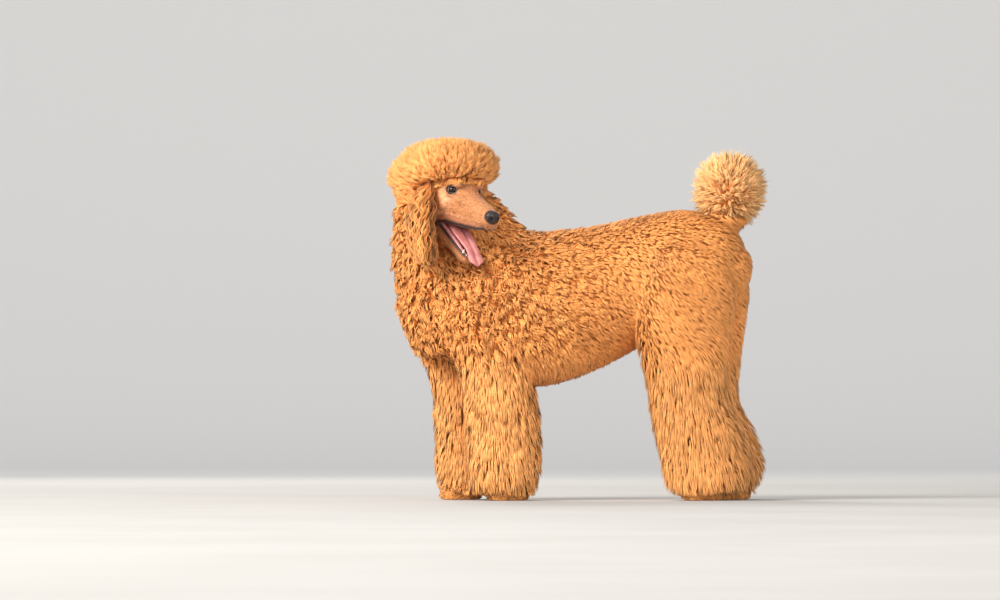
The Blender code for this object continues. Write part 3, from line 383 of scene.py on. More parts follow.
headMatrix = headTurn()
toHead = headMatrix.inverted()
eyeLow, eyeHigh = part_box("eye_left")
shift = (eyeLow + eyeHigh) / 2 - headMatrix @ eye["place"]
onFrame = Matrix.Translation(shift)
print("shift onto the frame", tuple(round(v, 4) for v in shift))


def linked(name, data):
    obj = bpy.data.objects.new(name, data)
    bpy.context.scene.collection.objects.link(obj)
    return obj


def newObject(name, bm, matrix=None):
    mesh = bpy.data.meshes.new(name)
    bm.to_mesh(mesh)
    bm.free()
    if matrix is not None:
        mesh.transform(matrix)
    return linked(name, mesh)


def heap(name, pieces, matrix=None):
    # closed pieces in one mesh, left crossing each other, for a voxel remesh to fuse
    whole = bmesh.new()
    for bm in pieces:
        mesh = bpy.data.meshes.new("piece")
        bm.to_mesh(mesh)
        bm.free()
        whole.from_mesh(mesh)
        bpy.data.meshes.remove(mesh)
    return newObject(name, whole, matrix)


def absorb(obj, other):
    # takes the other object's closed pieces into this one
    whole = bmesh.new()
    whole.from_mesh(obj.data)
    whole.from_mesh(other.data)
    whole.to_mesh(obj.data)
    whole.free()
    bpy.data.objects.remove(other, do_unlink=True)


def modify(obj, kind, **settings):
    modifier = obj.modifiers.new(kind.lower(), kind)
    for key, value in settings.items():
        setattr(modifier, key, value)
    graph = bpy.context.evaluated_depsgraph_get()
    mesh = bpy.data.meshes.new_from_object(obj.evaluated_get(graph), depsgraph=graph)
    old = obj.data
    obj.modifiers.clear()
    obj.data = mesh
    bpy.data.meshes.remove(old)


def remesh(obj, voxel, smooth):
    modify(obj, "REMESH", mode="VOXEL", voxel_size=voxel, adaptivity=0.0)
    modify(obj, "SMOOTH", factor=0.5, iterations=smooth)


def combine(obj, other, operation="DIFFERENCE"):
    if not isinstance(other, bpy.types.Object):
        other = newObject("cutter", other)
    modify(obj, "BOOLEAN", operation=operation, solver="MANIFOLD", object=other)
    bpy.data.objects.remove(other, do_unlink=True)


def eyeTurn(side):
    # axes at an eye: x along the gaze, y along the opening of the lids
    gx, gy, gz = eye["gaze"]
    gaze = Vector((gx, gy * side, gz)).normalized()
    along = Vector((0, 0, 1)).cross(gaze).normalized()
    turn = Matrix((gaze, along, gaze.cross(along))).transposed().to_4x4()
    return Matrix.Translation(sided(eye["place"], side)) @ turn


lids = dict(proud=0.0006, upper=0.0076, lower=0.0069, wide=0.0117, pointed=1.4, points=28,
            rim=0.00132, rimGrow=0.0006, opening=-0.0004, socket=0.0002)


def lidLine(side, grow=0.0):
    # the almond of the open lids, on the ball of the eye
    points = []
    reach = eye["radius"] + lids["proud"]
    for k in range(lids["points"]):
        a = 2 * math.pi * k / lids["points"]
        y = math.cos(a) * (lids["wide"] + grow)
        tall = lids["upper"] if math.sin(a) > 0 else lids["lower"]
        z = math.copysign(abs(math.sin(a)) ** lids["pointed"], math.sin(a)) * (tall + grow)
        x = math.sqrt(max(reach ** 2 - y * y - z * z, 0.000001))
        points.append(eyeTurn(side) @ Vector((x, y, z)))
    return points


def loopTube(points, radius, sides=8):
    # a closed ring of tube through points
    bm = bmesh.new()
    count = len(points)
    middle = sum(points, Vector()) / count
    grid = []
    for k, p in enumerate(points):
        along = (points[(k + 1) % count] - points[k - 1]).normalized()
        out = p - middle
        out = (out - out.dot(along) * along).normalized()
        up = along.cross(out)
        grid.append([bm.verts.new(p + (out * math.cos(a) + up * math.sin(a)) * radius)
                     for a in (2 * math.pi * j / sides for j in range(sides))])
    for k in range(count):
        joinRings(bm, grid[k], grid[(k + 1) % count])
    bmesh.ops.recalc_face_normals(bm, faces=bm.faces)
    return bm


def lidOpening(side):
    # the space in front of the eye, between the lids
    bm = bmesh.new()
    line = lidLine(side, lids["opening"])
    place = Vector(sided(eye["place"], side))

    def corner(p, share):
        return bm.verts.new(place + (p - place) * share)

    near = [corner(p, 0.55) for p in line]
    far = [corner(p, 1.45) for p in line]
    middle = sum(line, Vector()) / len(line)
    inner, outer = corner(middle, 0.3), corner(middle, 2.6)
    for k in range(len(line)):
        bm.faces.new((inner, near[k], near[k - 1]))
        bm.faces.new((outer, far[k - 1], far[k]))
        bm.faces.new((near[k - 1], near[k], far[k], far[k - 1]))
    bmesh.ops.recalc_face_normals(bm, faces=bm.faces)
    return bm


def makeHeadSkin():
    rings = [loopTube(lidLine(side, lids["rimGrow"]), lids["rim"]) for side in (1, -1)]
    skin = heap("head", headPieces() + rings)
    absorb(skin, heap("lobes", [lobeLoft(side) for side in (1, -1)], toHead))
    remesh(skin, head["voxel"], head["smooth"])
    for hollow in mouthHollows():
        combine(skin, hollow)
    remesh(skin, head["voxel"], 2)
    for side in (1, -1):
        combine(skin, ball(sided(eye["place"], side), (eye["radius"] + lids["socket"],) * 3))
        combine(skin, lidOpening(side))
    skin.data.transform(headMatrix)
    return skin


paw = dict(pad=(0.036, 0.028, 0.022), padBack=0.006, padHeight=0.016, toe=(0.021, 0.0105, 0.0150), apart=0.0155,
           longAhead=0.026, shortAhead=0.017, toeHeight=0.0125, turn=(-1, 0.10, 0),
           shank=(0.024, 0.030), shankAhead=0.010, shankHeights=(0.010, 0.030, 0.060))


def pawPlace(leg):
    x = leg["stations"][-1][1] + leg["shift"]
    return Vector((x, spineAt(x), 0)) + leftAt(x) * leg["side"] * leg["foot"]


def toePlaces(leg):
    forward = Vector(paw["turn"]).normalized()
    places = []
    for j in range(4):
        ahead = paw["longAhead"] if j in (1, 2) else paw["shortAhead"]
        places.append(pawPlace(leg) + forward * ahead + Vector((0, (j - 1.5) * paw["apart"], paw["toeHeight"])))
    return places


def pawPieces(leg):
    centre = pawPlace(leg)
    made = [ball(centre + Vector((paw["padBack"], 0, paw["padHeight"])), paw["pad"], 2.6)]
    made += [ball(place, paw["toe"], 2.3) for place in toePlaces(leg)]
    shank = [(centre + Vector((paw["shankAhead"], 0, z)), *paw["shank"]) for z in paw["shankHeights"]]
    return made + [loft(shank, (0, 1, 0))]


# Skin: how deep in the coat it lies, as a share, the voxels that fuse it and the coat's outline, the paws' flats, and
# the number of faces laid out flat for the bake map.
skinForm = dict(depth=0.5, voxel=0.009, pawVoxel=0.0025, outlineVoxel=0.008, pawLevel=0.0003, unwrapFaces=9000)


def bodyPieces(share):
    return [torsoLoft(share), neckLoft(share), *[legLoft(leg, share) for leg in legs.values()], *tailPieces(share)]


def slab(top):
    # all the space below a level
    bm = bmesh.new()
    bmesh.ops.create_cube(bm, size=2)
    bmesh.ops.transform(bm, matrix=Matrix.Translation((0, 0, top - 1)), verts=bm.verts)
    return bm


def fused(name, share, voxel, smooth):
    # body and topknot as one surface, that share of the coat's depth inside its outline
    body = heap(name, bodyPieces(share))
    absorb(body, heap("knot", topknotBalls(share), headMatrix))
    remesh(body, voxel, smooth)
    return body


def makeSkin():
    body = fused("skin", skinForm["depth"], skinForm["voxel"], 4)
    combine(body, slab(legForm["floorGap"]))
    feet = heap("feet", [piece for leg in legs.values() for piece in pawPieces(leg)])
    remesh(feet, skinForm["pawVoxel"], 2)
    combine(feet, slab(skinForm["pawLevel"]))
    combine(body, feet, "UNION")
    headSkin = makeHeadSkin()
    for obj, kind in ((body, 0), (headSkin, 1)):
        obj.data.materials.clear()
        for word in ("skin", "face"):
            obj.data.materials.append(bpy.data.materials.get(word) or bpy.data.materials.new(word))
        obj.data.polygons.foreach_set("material_index", np.full(len(obj.data.polygons), kind, np.int32))
    combine(body, headSkin, "UNION")
    body.data.shade_smooth()
    print("skin", len(body.data.polygons), "faces")
    return body


skin = makeSkin()

# Which part of the dog a point of the skin belongs to, from its place.
headRear = (Vector((-0.045, 0, -0.110)), Vector((-0.866, 0, -0.50)).normalized())
brow = dict(height=0.0128, slope=0.30, square=0.958, drop=0.62, behind=-0.016, dropReach=0.05)
faceSide = 0.0575
# Painted light: the cheeks are painted paler round this place, as if lit, fading out between the two distances on the
# next line.
paintedCheekLight = (-0.026, 0.042, -0.030)              # the palest place of the left cheek, in head axes
paintedCheekLightReach = (0.010, 0.042)
headInverse = np.array(toHead)
headForward = np.array(headMatrix)


def inHead(points):
    return points @ headInverse[:3, :3].T + headInverse[:3, 3]


def outOfHead(points):
    return points @ headForward[:3, :3].T + headForward[:3, 3]


def overBrow(q):
    # how far above the lower edge of the topknot, which runs over the eye and drops behind it
    drop = brow["drop"] * np.clip(brow["behind"] - q[:, 0], 0, brow["dropReach"])
    return (q[:, 2] - brow["height"] - brow["slope"] * q[:, 0] + drop) * brow["square"]


def above(points, plane):
    # signed distance beyond a plane, of points in head axes
    return (points - np.array(plane[0])) @ np.array(plane[1])


def unit(rows):
    return rows / np.maximum(np.linalg.norm(rows, axis=-1, keepdims=True), 1e-9)


def blendStep(values, start, end):
    t = np.clip((values - start) / (end - start), 0, 1)
    return t * t * (3 - 2 * t)


def paintedCheekLightAt(q, side):
    # painted light on a cheek: 1 at its palest place, 0 away from it
    return 1 - blendStep(np.linalg.norm(q - np.array(sided(paintedCheekLight, side)), axis=1), *paintedCheekLightReach)


def readAll(items, key, wide=1, kind=np.float32):
    values = np.empty(len(items) * wide, kind)
    items.foreach_get(key, values)
    return values.reshape(-1, wide) if wide > 1 else values


def addAttribute(mesh, label, values):
    mesh.attributes.new(label, "FLOAT", "POINT").data.foreach_set("value", np.asarray(values, np.float32))


skin.data.calc_loop_triangles()
skinCorners = readAll(skin.data.loop_triangles, "vertices", 3, np.int32)
skinKinds = readAll(skin.data.loop_triangles, "material_index", 1, np.int32)
skinPlaces = readAll(skin.data.vertices, "co", 3).astype(float)
skinNormals = readAll(skin.data.vertices, "normal", 3).astype(float)
cornerPlaces = skinPlaces[skinCorners]
skinMiddles = cornerPlaces.mean(1)
skinCross = np.cross(cornerPlaces[:, 1] - cornerPlaces[:, 0], cornerPlaces[:, 2] - cornerPlaces[:, 0])
skinAreas = np.linalg.norm(skinCross, axis=1) / 2
print("skin", len(skinCorners), "triangles")

# Borders of the coat's regions: on the body by height and place along it, on the head in head axes.
borders = dict(knotGrow=1.04, napeGrow=1.02, brow=0.001, tail=(0.262, 0.632), rear=-0.02, pawAbove=0.003,
               soleAbove=0.0015, soleTurn=-0.6, headRear=0.004, templeFront=0.02, templeBack=-0.046, templeLow=-0.10)


def regionOf(middles, kinds, bodyUp):
    # the name of the coat's region at each of these places
    q = inHead(middles)
    region = np.full(len(middles), "body", dtype="<U8")
    turned = q - np.array(topknot["centre"])
    c, s = math.cos(topknot["tilt"]), math.sin(topknot["tilt"])
    turned = np.stack([turned[:, 0] * c - turned[:, 2] * s, turned[:, 1], turned[:, 0] * s + turned[:, 2] * c], 1)
    inKnot = (np.abs(turned / np.array(topknot["radii"] * borders["knotGrow"])) ** topknot["power"]).sum(1) < 1
    nape = (q - np.array(topknot["napeCentre"])) / np.array(topknot["napeRadii"] * borders["napeGrow"])
    inNape = (np.abs(nape) ** topknot["napePower"]).sum(1) < 1
    high = overBrow(q)
    region[(inKnot | inNape) & (high > borders["brow"])] = "topknot"
    region[(middles[:, 0] > borders["tail"][0]) & (middles[:, 2] > borders["tail"][1])] = "tail"
    low = middles[:, 2] < legForm["floorGap"] + borders["pawAbove"]
    region[(region == "body") & (middles[:, 0] > borders["rear"])] = "rear"
    region[region == "body"] = "fore"
    region[low] = "none"
    region[low & (middles[:, 2] > borders["soleAbove"]) & (bodyUp > borders["soleTurn"])] = "paw"
    face = kinds == 1
    region[face] = "none"
    onFace = face & (np.abs(q[:, 1]) < faceSide) & (above(q, headRear) < borders["headRear"])
    region[onFace & (high < borders["brow"])] = "face"
    region[onFace & (high >= borders["brow"]) & (q[:, 0] < borders["templeFront"])] = "temple"
    region[onFace & (q[:, 0] < borders["templeBack"]) & (q[:, 2] > borders["templeLow"])] = "temple"
    return region


skinRegions = regionOf(skinMiddles, skinKinds, unit(skinCross)[:, 2])
faceTree = BVHTree.FromPolygons(skinPlaces.tolist(), skinCorners[skinKinds == 1].tolist())
for word in ("fore", "rear", "topknot", "tail", "face", "paw", "temple"):
    print(word, "area", round(float(skinAreas[skinRegions == word].sum()), 3))


def rootsOn(region, count, random):
    # evenly random places on a region of the skin, with their normals
    where = np.flatnonzero(skinRegions == region)
    weight = skinAreas[where]
    which = where[random.choice(len(where), size=count, p=weight / weight.sum())]
    a, b = random.random((2, count, 1))
    flip = a + b > 1
    a, b = np.where(flip, 1 - a, a), np.where(flip, 1 - b, b)
    corners = skinCorners[which]

    def between(values):
        return values[corners[:, 0]] * (1 - a - b) + values[corners[:, 1]] * a + values[corners[:, 2]] * b

    return between(skinPlaces), unit(between(skinNormals))


def treeOf(obj):
    # the object's faces as a search tree; the object goes
    mesh = obj.data
    tree = BVHTree.FromPolygons([v.co.copy() for v in mesh.vertices], [p.vertices[:] for p in mesh.polygons])
    bpy.data.objects.remove(obj, do_unlink=True)
    return tree


def makeUnwrap():
    # a light copy of the skin, laid out flat: it gives each tuft its place on the bake map
    light = linked("light", skin.data.copy())
    modify(light, "DECIMATE", ratio=skinForm["unwrapFaces"] / len(skinCorners))
    bpy.ops.object.select_all(action="DESELECT")
    bpy.context.view_layer.objects.active = light
    light.select_set(True)
    bpy.ops.object.mode_set(mode="EDIT")
    bpy.ops.mesh.select_all(action="SELECT")
    bpy.ops.mesh.quads_convert_to_tris()
    bpy.ops.uv.smart_project(angle_limit=math.radians(66), island_margin=0.004)
    bpy.ops.object.mode_set(mode="OBJECT")
    mesh = light.data
    corners = np.array([p.vertices[:] for p in mesh.polygons])
    places = np.array([v.co[:] for v in mesh.vertices])
    uvs = readAll(mesh.uv_layers.active.data, "uv", 2)
    return treeOf(light), places[corners], uvs.reshape(-1, 3, 2)


outlineTree = treeOf(fused("outline", 0.0, skinForm["outlineVoxel"], 3))     # how far the coat reaches
unwrapTree, unwrapPlaces, unwrapUvs = makeUnwrap()
print("outline and unwrap made")


def uvAt(points):
    # where these places of the skin lie on the unwrap
    faces = np.array([unwrapTree.find_nearest(p)[2] for p in points.tolist()])
    a, b, c = unwrapPlaces[faces, 0], unwrapPlaces[faces, 1], unwrapPlaces[faces, 2]
    ab, ac, ap = b - a, c - a, points - a
    d00, d01, d11 = (ab * ab).sum(1), (ab * ac).sum(1), (ac * ac).sum(1)
    d20, d21 = (ap * ab).sum(1), (ap * ac).sum(1)
    size = np.maximum(d00 * d11 - d01 * d01, 1e-16)
    v = np.clip((d11 * d20 - d01 * d21) / size, 0, 1)
    w = np.clip((d00 * d21 - d01 * d20) / size, 0, 1)
    spare = np.maximum(v + w, 1)
    v, w = v / spare, w / spare
    uv = unwrapUvs[faces]
    return uv[:, 0] * (1 - v - w)[:, None] + uv[:, 1] * v[:, None] + uv[:, 2] * w[:, None]


# Tufts: size of each one's place on the bake map, share of its own roundness in the coat's shading, how unevenly it
# faces, spread of the widths and the most triangles in one piece of coat.
tuft = dict(patch=0.003, roundness=0.42, uneven=0.09, widths=(0.75, 1.25), mostTriangles=195000)


def tuftMesh(name, paths, widths, flatness, profile, reference, shades, roots):
    # closed three-sided tufts along paths of points, each ending in a tip, a flat side outwards; their normals follow
    # the coat's form more than their own sides
    count, rings = paths.shape[0], paths.shape[1] - 1
    along = np.empty_like(paths)
    along[:, 1:-1] = paths[:, 2:] - paths[:, :-2]
    along[:, 0] = paths[:, 1] - paths[:, 0]
    along[:, -1] = paths[:, -1] - paths[:, -2]
    along = unit(along)[:, :rings]
    sideA = unit(np.cross(along, np.broadcast_to(reference[:, None], along.shape)))
    sideB = np.cross(along, sideA)
    angles = math.radians(90) + 2 * math.pi * np.arange(3) / 3
    wide = widths[:, None] * np.array(profile)[None]
    cosines, sines = np.cos(angles)[None, None, :, None], np.sin(angles)[None, None, :, None]
    rim = (sideA[:, :, None] * cosines + sideB[:, :, None] * sines * flatness) * wide[:, :, None, None]
    facing = unit(sideA[:, :, None] * cosines * flatness + sideB[:, :, None] * sines) * tuft["roundness"]
    facing = np.concatenate([(facing + reference[:, None, None]).reshape(count, rings * 3, 3),
                             along[:, -1:] * tuft["roundness"] + reference[:, None]], 1)
    verts = np.concatenate([(paths[:, :rings, None] + rim).reshape(count, rings * 3, 3), paths[:, -1:]], 1)
    each, last = rings * 3 + 1, (rings - 1) * 3
    faces = [(0, 2, 1)]
    for r in range(rings - 1):
        for j in range(3):
            faces.append((r * 3 + j, r * 3 + (j + 1) % 3, r * 3 + 3 + (j + 1) % 3, r * 3 + 3 + j))
    faces += [(last + j, last + (j + 1) % 3, each - 1) for j in range(3)]
    template = np.array([v for face in faces for v in face])
    sizes = np.array([len(face) for face in faces])
    loops = (template[None] + (np.arange(count) * each)[:, None]).ravel()
    starts = (np.cumsum(sizes) - sizes)[None] + (np.arange(count) * len(template))[:, None]
    mesh = bpy.data.meshes.new(name)
    mesh.vertices.add(count * each)
    mesh.vertices.foreach_set("co", verts.astype(np.float32).ravel())
    mesh.loops.add(len(loops))
    mesh.loops.foreach_set("vertex_index", loops.astype(np.int32))
    mesh.polygons.add(count * len(faces))
    mesh.polygons.foreach_set("loop_start", starts.ravel().astype(np.int32))
    mesh.polygons.foreach_set("use_smooth", np.ones(count * len(faces), bool))
    mesh.update(calc_edges=True)
    mesh.normals_split_custom_set_from_vertices(unit(facing).reshape(-1, 3))
    shareAlong = np.minimum(np.arange(each) // 3, rings) / rings
    corner = np.stack([(np.arange(each) % 3) / 2 - 0.5, shareAlong - 0.5], 1) * tuft["patch"]
    corner[-1, 0] = 0
    uv = (uvAt(roots)[:, None] + corner[None])[:, template].reshape(-1, 2)
    mesh.uv_layers.new(name="OFBake").data.foreach_set("uv", uv.astype(np.float32).ravel())
    addAttribute(mesh, "along", np.tile(shareAlong, count))
    addAttribute(mesh, "shade", np.repeat(shades, each))
    return linked(name, mesh)


def ownersOf(roots, share, random):
    # each root joins the lock of the nearest root picked as a guide
    guides = np.flatnonzero(random.random(len(roots)) < share)
    tree = KDTree(len(guides))
    for i, g in enumerate(guides):
        tree.insert(roots[g], i)
    tree.balance()
    return guides[np.array([tree.find(p)[1] for p in roots.tolist()])]


def nearLine(points, line, reach):
    # 1 on the line, 0 beyond its reach
    line = np.array([tuple(p) for p in line])
    best = np.full(len(points), 9.0)
    for a, b in zip(line, line[1:]):
        ab = b - a
        t = np.clip(((points - a) @ ab) / max(ab @ ab, 1e-12), 0, 1)
        best = np.minimum(best, np.linalg.norm(points - a - t[:, None] * ab, axis=1))
    return 1 - blendStep(best, reach * 0.6, reach)


def growPaths(roots, normals, depths, lies, form, random):
    # the line of each tuft: out to the coat's outline, leaning along the lie, curling with its lock
    count = len(roots)
    density = form["count"] / skinAreas[skinRegions == form["region"]].sum()
    clump = np.broadcast_to(np.asarray(form["clump"], float), count)
    owner = ownersOf(roots, 1 / (density * clump ** 2), random)
    t = np.linspace(0, 1, form["segments"] + 1)[None, :, None]

    def column(key):
        return np.broadcast_to(np.asarray(form[key], float), count)[:, None, None]

    out = unit(normals * 0.5 + normals[owner] * 0.5)
    lie = lies - (lies * out).sum(1, keepdims=True) * out
    lie = unit(lie) * np.minimum(np.linalg.norm(lie, axis=1, keepdims=True) * 1.5, 1)
    heading = unit(random.normal(size=(count, 3)))[owner]
    stray = random.normal(size=(count, 3))[:, None] * column("stray")
    lean = lie[:, None] * column("lean") + heading[:, None] * column("wander")
    depth = (depths * random.uniform(*form["trim"], count))[:, None, None]
    grow = out[:, None] * depth * (1 - (1 - t) ** column("ease")) + lean * depth * t ** 1.4 + stray * t ** 1.5
    side = unit(np.cross(out, heading))
    other = np.cross(out, side)
    phase = (random.uniform(0, 2 * math.pi, count)[owner] + random.normal(size=count) * 0.5)[:, None, None]
    spin = np.where(random.random(count) < 0.5, -1, 1)[owner][:, None, None]
    turn = phase + spin * t * column("turns") * 2 * math.pi
    radius = column("curl") * blendStep(t, 0, 0.5)
    curl = (side[:, None] * (np.cos(turn) - np.cos(phase)) + other[:, None] * (np.sin(turn) - np.sin(phase))) * radius
    apart = (roots - roots[owner])[:, None] * (1 - column("pinch") * t ** 1.2)
    return roots[owner][:, None] + apart + grow + curl, owner


# Where the neck's coat is kept off the head, in head axes: half widths, lowest place and how far hair is moved.
faceGuard = dict(wider=0.004, lowest=-0.150, push=-0.030, half=0.07, middle=-0.005, ahead=0.13, height=(-0.20, 0.03),
                 search=0.030, clear=0.001)


def clearFace(paths):
    # keeps the neck's coat off the shaved face, which ends at a line behind the cheek, and out of the open mouth
    q = inHead(paths.reshape(-1, 3))
    behind = above(q, headRear)
    fromBehind = np.repeat(above(inHead(paths[:, 0]), headRear) > 0, paths.shape[1])
    hit = (np.abs(q[:, 1]) < faceSide + faceGuard["wider"]) & (behind < 0) & (overBrow(q) < 0)
    hit &= fromBehind & (q[:, 2] > faceGuard["lowest"])
    q[hit] -= np.maximum(behind[hit, None], faceGuard["push"]) * np.array(headRear[1])
    low, high = faceGuard["height"]
    near = (np.abs(q[:, 1]) < faceGuard["half"]) & (np.abs(q[:, 0] - faceGuard["middle"]) < faceGuard["ahead"])
    near = np.flatnonzero(near & (q[:, 2] > low) & (q[:, 2] < high))
    for i, p in zip(near.tolist(), outOfHead(q[near]).tolist()):
        place, normal, face, distance = faceTree.find_nearest(p, faceGuard["search"])
        if place is not None and (Vector(p) - place).dot(normal) < faceGuard["clear"]:
            q[i] = inHead(np.array(place + normal * faceGuard["clear"]))
    return outOfHead(q).reshape(paths.shape)


# The open mouth, in head axes: half width, ends, roof, the floor's hinge and how far below it is still the mouth.
mouthSpace = dict(half=0.036, back=-0.030, front=0.11, roof=-0.055, hinge=(-0.045, -0.058), below=0.010)


def inMouth(paths):
    # whether a tuft reaches into the open mouth
    tips = inHead(paths[:, 1:].reshape(-1, 3))
    along, high = mouthSpace["hinge"]
    lower = high - (tips[:, 0] - along) * math.tan(pose["jawOpen"]) - mouthSpace["below"]
    inside = (tips[:, 0] > mouthSpace["back"]) & (tips[:, 0] < mouthSpace["front"])
    inside &= (np.abs(tips[:, 1]) < mouthSpace["half"]) & (tips[:, 2] < mouthSpace["roof"]) & (tips[:, 2] > lower)
    return inside.reshape(paths.shape[0], -1).any(1)


# The topknot's front edge: how much lower it hangs beside the eyes, from where to where, and how far back it runs.
visor = dict(hang=0.016, beside=(0.036, 0.058), back=-0.060)


def keepVisor(paths):
    # the topknot's front ends in a clean edge over the eyes, and hangs lower beside them
    q = inHead(paths.reshape(-1, 3))
    over = overBrow(q) + visor["hang"] * blendStep(np.abs(q[:, 1]), *visor["beside"])
    hit = (over < 0) & (q[:, 0] > visor["back"])
    q[hit, 2] -= over[hit]
    return outOfHead(q).reshape(paths.shape)


def depthsAt(roots, form):
    # how far the coat's outline is from each root
    return np.clip(np.array([outlineTree.find_nearest(p)[3] for p in roots.tolist()]), *form["depth"])


coatPieces = []


def splitCoat(name, slot, form, tufts, order):
    # one piece of coat for every so many tufts
    most = tuft["mostTriangles"] // (6 * (form["segments"] - 1) + 4)
    parts = math.ceil(len(order) / most)
    for k, i in enumerate(np.array_split(order, parts)):
        piece = tuftMesh(name + (f"_{k + 1}" if parts > 1 else ""), tufts["paths"][i], tufts["widths"][i],
                         form["flat"], form["profile"], tufts["reference"][i], tufts["shades"][i], tufts["roots"][i])
        coatPieces.append((piece, slot))


def dressed(paths, owner, roots, normals, form, random):
    # what a tuft's mesh needs: its width, the way it faces as part of a round lock, and its own tone
    count, shared = len(roots), form["shared"]
    widths = form["width"] * random.uniform(*tuft["widths"], count)
    shades = random.random(count) * (1 - shared) + random.random(count)[owner] * shared
    across = (roots - roots[owner]) / np.reshape(form.get("lock", form["clump"]), (-1, 1))
    reference = normals + across * np.reshape(form["relief"], (-1, 1))
    reference = unit(reference + random.normal(size=normals.shape) * tuft["uneven"])
    return dict(paths=paths, widths=widths, reference=reference, shades=shades, roots=roots)


# Coat. Tufts: the skin's region, their number, segments of each, half width, flatness, half width along it as shares,
# seed, and least and most depth or length. Growth: clump is the size of a lock and lock the size over which it looks
# round, relief how round, shared how much of its tone it shares, lean runs along the lie, wander sets whole locks and
# stray single tufts off it, and pinch draws a lock together at its end.
coat = dict(
    curly=dict(region="fore", count=29000, segments=3, width=0.0024, flat=0.30, profile=(0.85, 1.0, 0.8), seed=3,
               depth=(0.014, 0.036), trim=(0.97, 1.01), shared=0.5),
    plush=dict(region="rear", count=44000, segments=2, width=0.0017, flat=0.3, profile=(0.9, 1.0), seed=4,
               depth=(0.012, 0.028), trim=(0.97, 1.01), shared=0.5),
    topknot=dict(region="topknot", count=22000, segments=2, width=0.0016, flat=0.35, profile=(0.9, 0.95), seed=5,
                 depth=(0.012, 0.052), trim=(0.96, 1.005), shared=0.35, clump=0.0064, relief=0.7, ease=1.7,
                 stray=0.0012, lean=0.18, wander=0.14, turns=0.6, curl=0.0012, pinch=0.04),
    tail=dict(region="tail", count=5200, segments=3, width=0.0016, flat=0.6, profile=(0.9, 1.0, 0.7), seed=9,
              depth=(0.014, 0.036), trim=(0.80, 1.12), shared=0.4, clump=0.0076, relief=0.9, ease=1.25,
              stray=0.0034, lean=0.08, wander=0.26, turns=0.5, curl=0.0020, pinch=0.42),
    face=dict(region="face", count=10500, segments=2, width=0.00068, flat=0.5, profile=(0.9, 1.0), seed=13,
              length=(0.0036, 0.0062), trim=(0.9, 1.1), shared=0.5, clump=0.0030, lock=0.008, relief=0.5, ease=1.3,
              stray=0.0005, lean=2.8, wander=1.1, turns=0.4, curl=0.0002, pinch=0.15, rise=0.30, sunk=0.0004),
    temple=dict(region="temple", count=3000, segments=3, width=0.0012, flat=0.5, profile=(0.9, 1.0, 0.8), seed=15,
                length=(0.009, 0.016), trim=(0.9, 1.1), shared=0.5, clump=0.0060, lock=0.008, relief=0.5, ease=1.4,
                stray=0.0012, lean=1.3, wander=0.5, turns=0.7, curl=0.0014, pinch=0.4, rise=0.6),
    paw=dict(region="paw", count=3600, segments=2, width=0.0011, flat=0.5, profile=(0.9, 1.0), seed=17,
             length=(0.0022, 0.0036), trim=(0.9, 1.1), shared=0.5, clump=0.0050, lock=0.008, relief=0.5, ease=1.3,
             stray=0.0010, lean=2.0, wander=0.5, turns=0.4, curl=0.0004, pinch=0.4, rise=1.0, lowest=0.0018),
)
# Growth of the body's coat on the legs' columns, on neck and chest, on the ribs, and on back and thighs.
bodyGrowth = dict(
    clump=(0.0105, 0.0130, 0.0095, 0.0065), relief=(0.45, 1.3, 0.8, 0.35), ease=(1.9, 1.8, 1.9, 2.0),
    stray=(0.0016, 0.0013, 0.0010, 0.0007), lean=(1.60, 0.90, 1.05, 1.20), wander=(0.10, 0.26, 0.18, 0.06),
    turns=(0.4, 0.95, 0.9, 0.6), curl=(0.0014, 0.0032, 0.0020, 0.0006), pinch=(0.10, 0.17, 0.10, 0.03),
)
bodyLie = dict(along=(0.06, 0.30, 0.75, 0.65), up=(-1.0, -0.85, -0.55, -0.60))
# Where one growth becomes the next, where the pieces part, and how low the hair may hang.
bodyZones = dict(legs=(0.27, 0.37), fore=(-0.16, -0.02), rear=(0.02, 0.16), legTop=0.262, hindFrom=0.05,
                 neckSlope=(0.569, 0.822), neckThrough=(-0.130, 0.600), lowest=0.009)


def started(kind):
    form = coat[kind]
    random = np.random.default_rng(form["seed"])
    return form, random, *rootsOn(form["region"], form["count"], random)


def makeBodyCoat(kind):
    # curly on the neck, chest and ribs, plush over the back and thighs, in long brushed locks down the legs
    form, random, roots, normals = started(kind)
    x, z = roots[:, 0], roots[:, 2]
    low = 1 - blendStep(z, *bodyZones["legs"])
    fore = (1 - blendStep(x, *bodyZones["fore"])) * (1 - low)
    rear = blendStep(x, *bodyZones["rear"]) * (1 - low)
    ribs = np.clip(1 - low - fore - rear, 0, 1)

    def mixed(values):
        return low * values[0] + fore * values[1] + ribs * values[2] + rear * values[3]

    lies = np.stack([mixed(bodyLie["along"]), np.zeros(len(z)), mixed(bodyLie["up"])], 1)
    form = {**form, **{key: mixed(values) for key, values in bodyGrowth.items()}}
    paths, owner = growPaths(roots, normals, depthsAt(roots, form), lies, form, random)
    paths = clearFace(paths)
    paths[:, :, 2] = np.maximum(paths[:, :, 2], bodyZones["lowest"])
    tufts = dressed(paths, owner, roots, normals, form, random)
    side = (roots[:, 1] - spineAt(x) > 0).astype(int)
    zone = np.where(z < bodyZones["legTop"], np.where(x < bodyZones["hindFrom"], 1 + side, 3 + side), 0)
    (alongX, alongZ), (cutX, cutZ) = bodyZones["neckSlope"], bodyZones["neckThrough"]
    zone[(zone == 0) & (x * alongX - (z - cutZ) * alongZ < cutX * alongX)] = 5
    zone[inMouth(paths)] = 9
    for k, word in enumerate(("torso", "foreleg_left", "foreleg_right", "hindleg_left", "hindleg_right", "neck")):
        pick = np.flatnonzero(zone == k)
        if len(pick) > 50:
            splitCoat(f"coat_{word}_{kind}", word, form, tufts, pick[np.argsort(x[pick], kind="stable")])


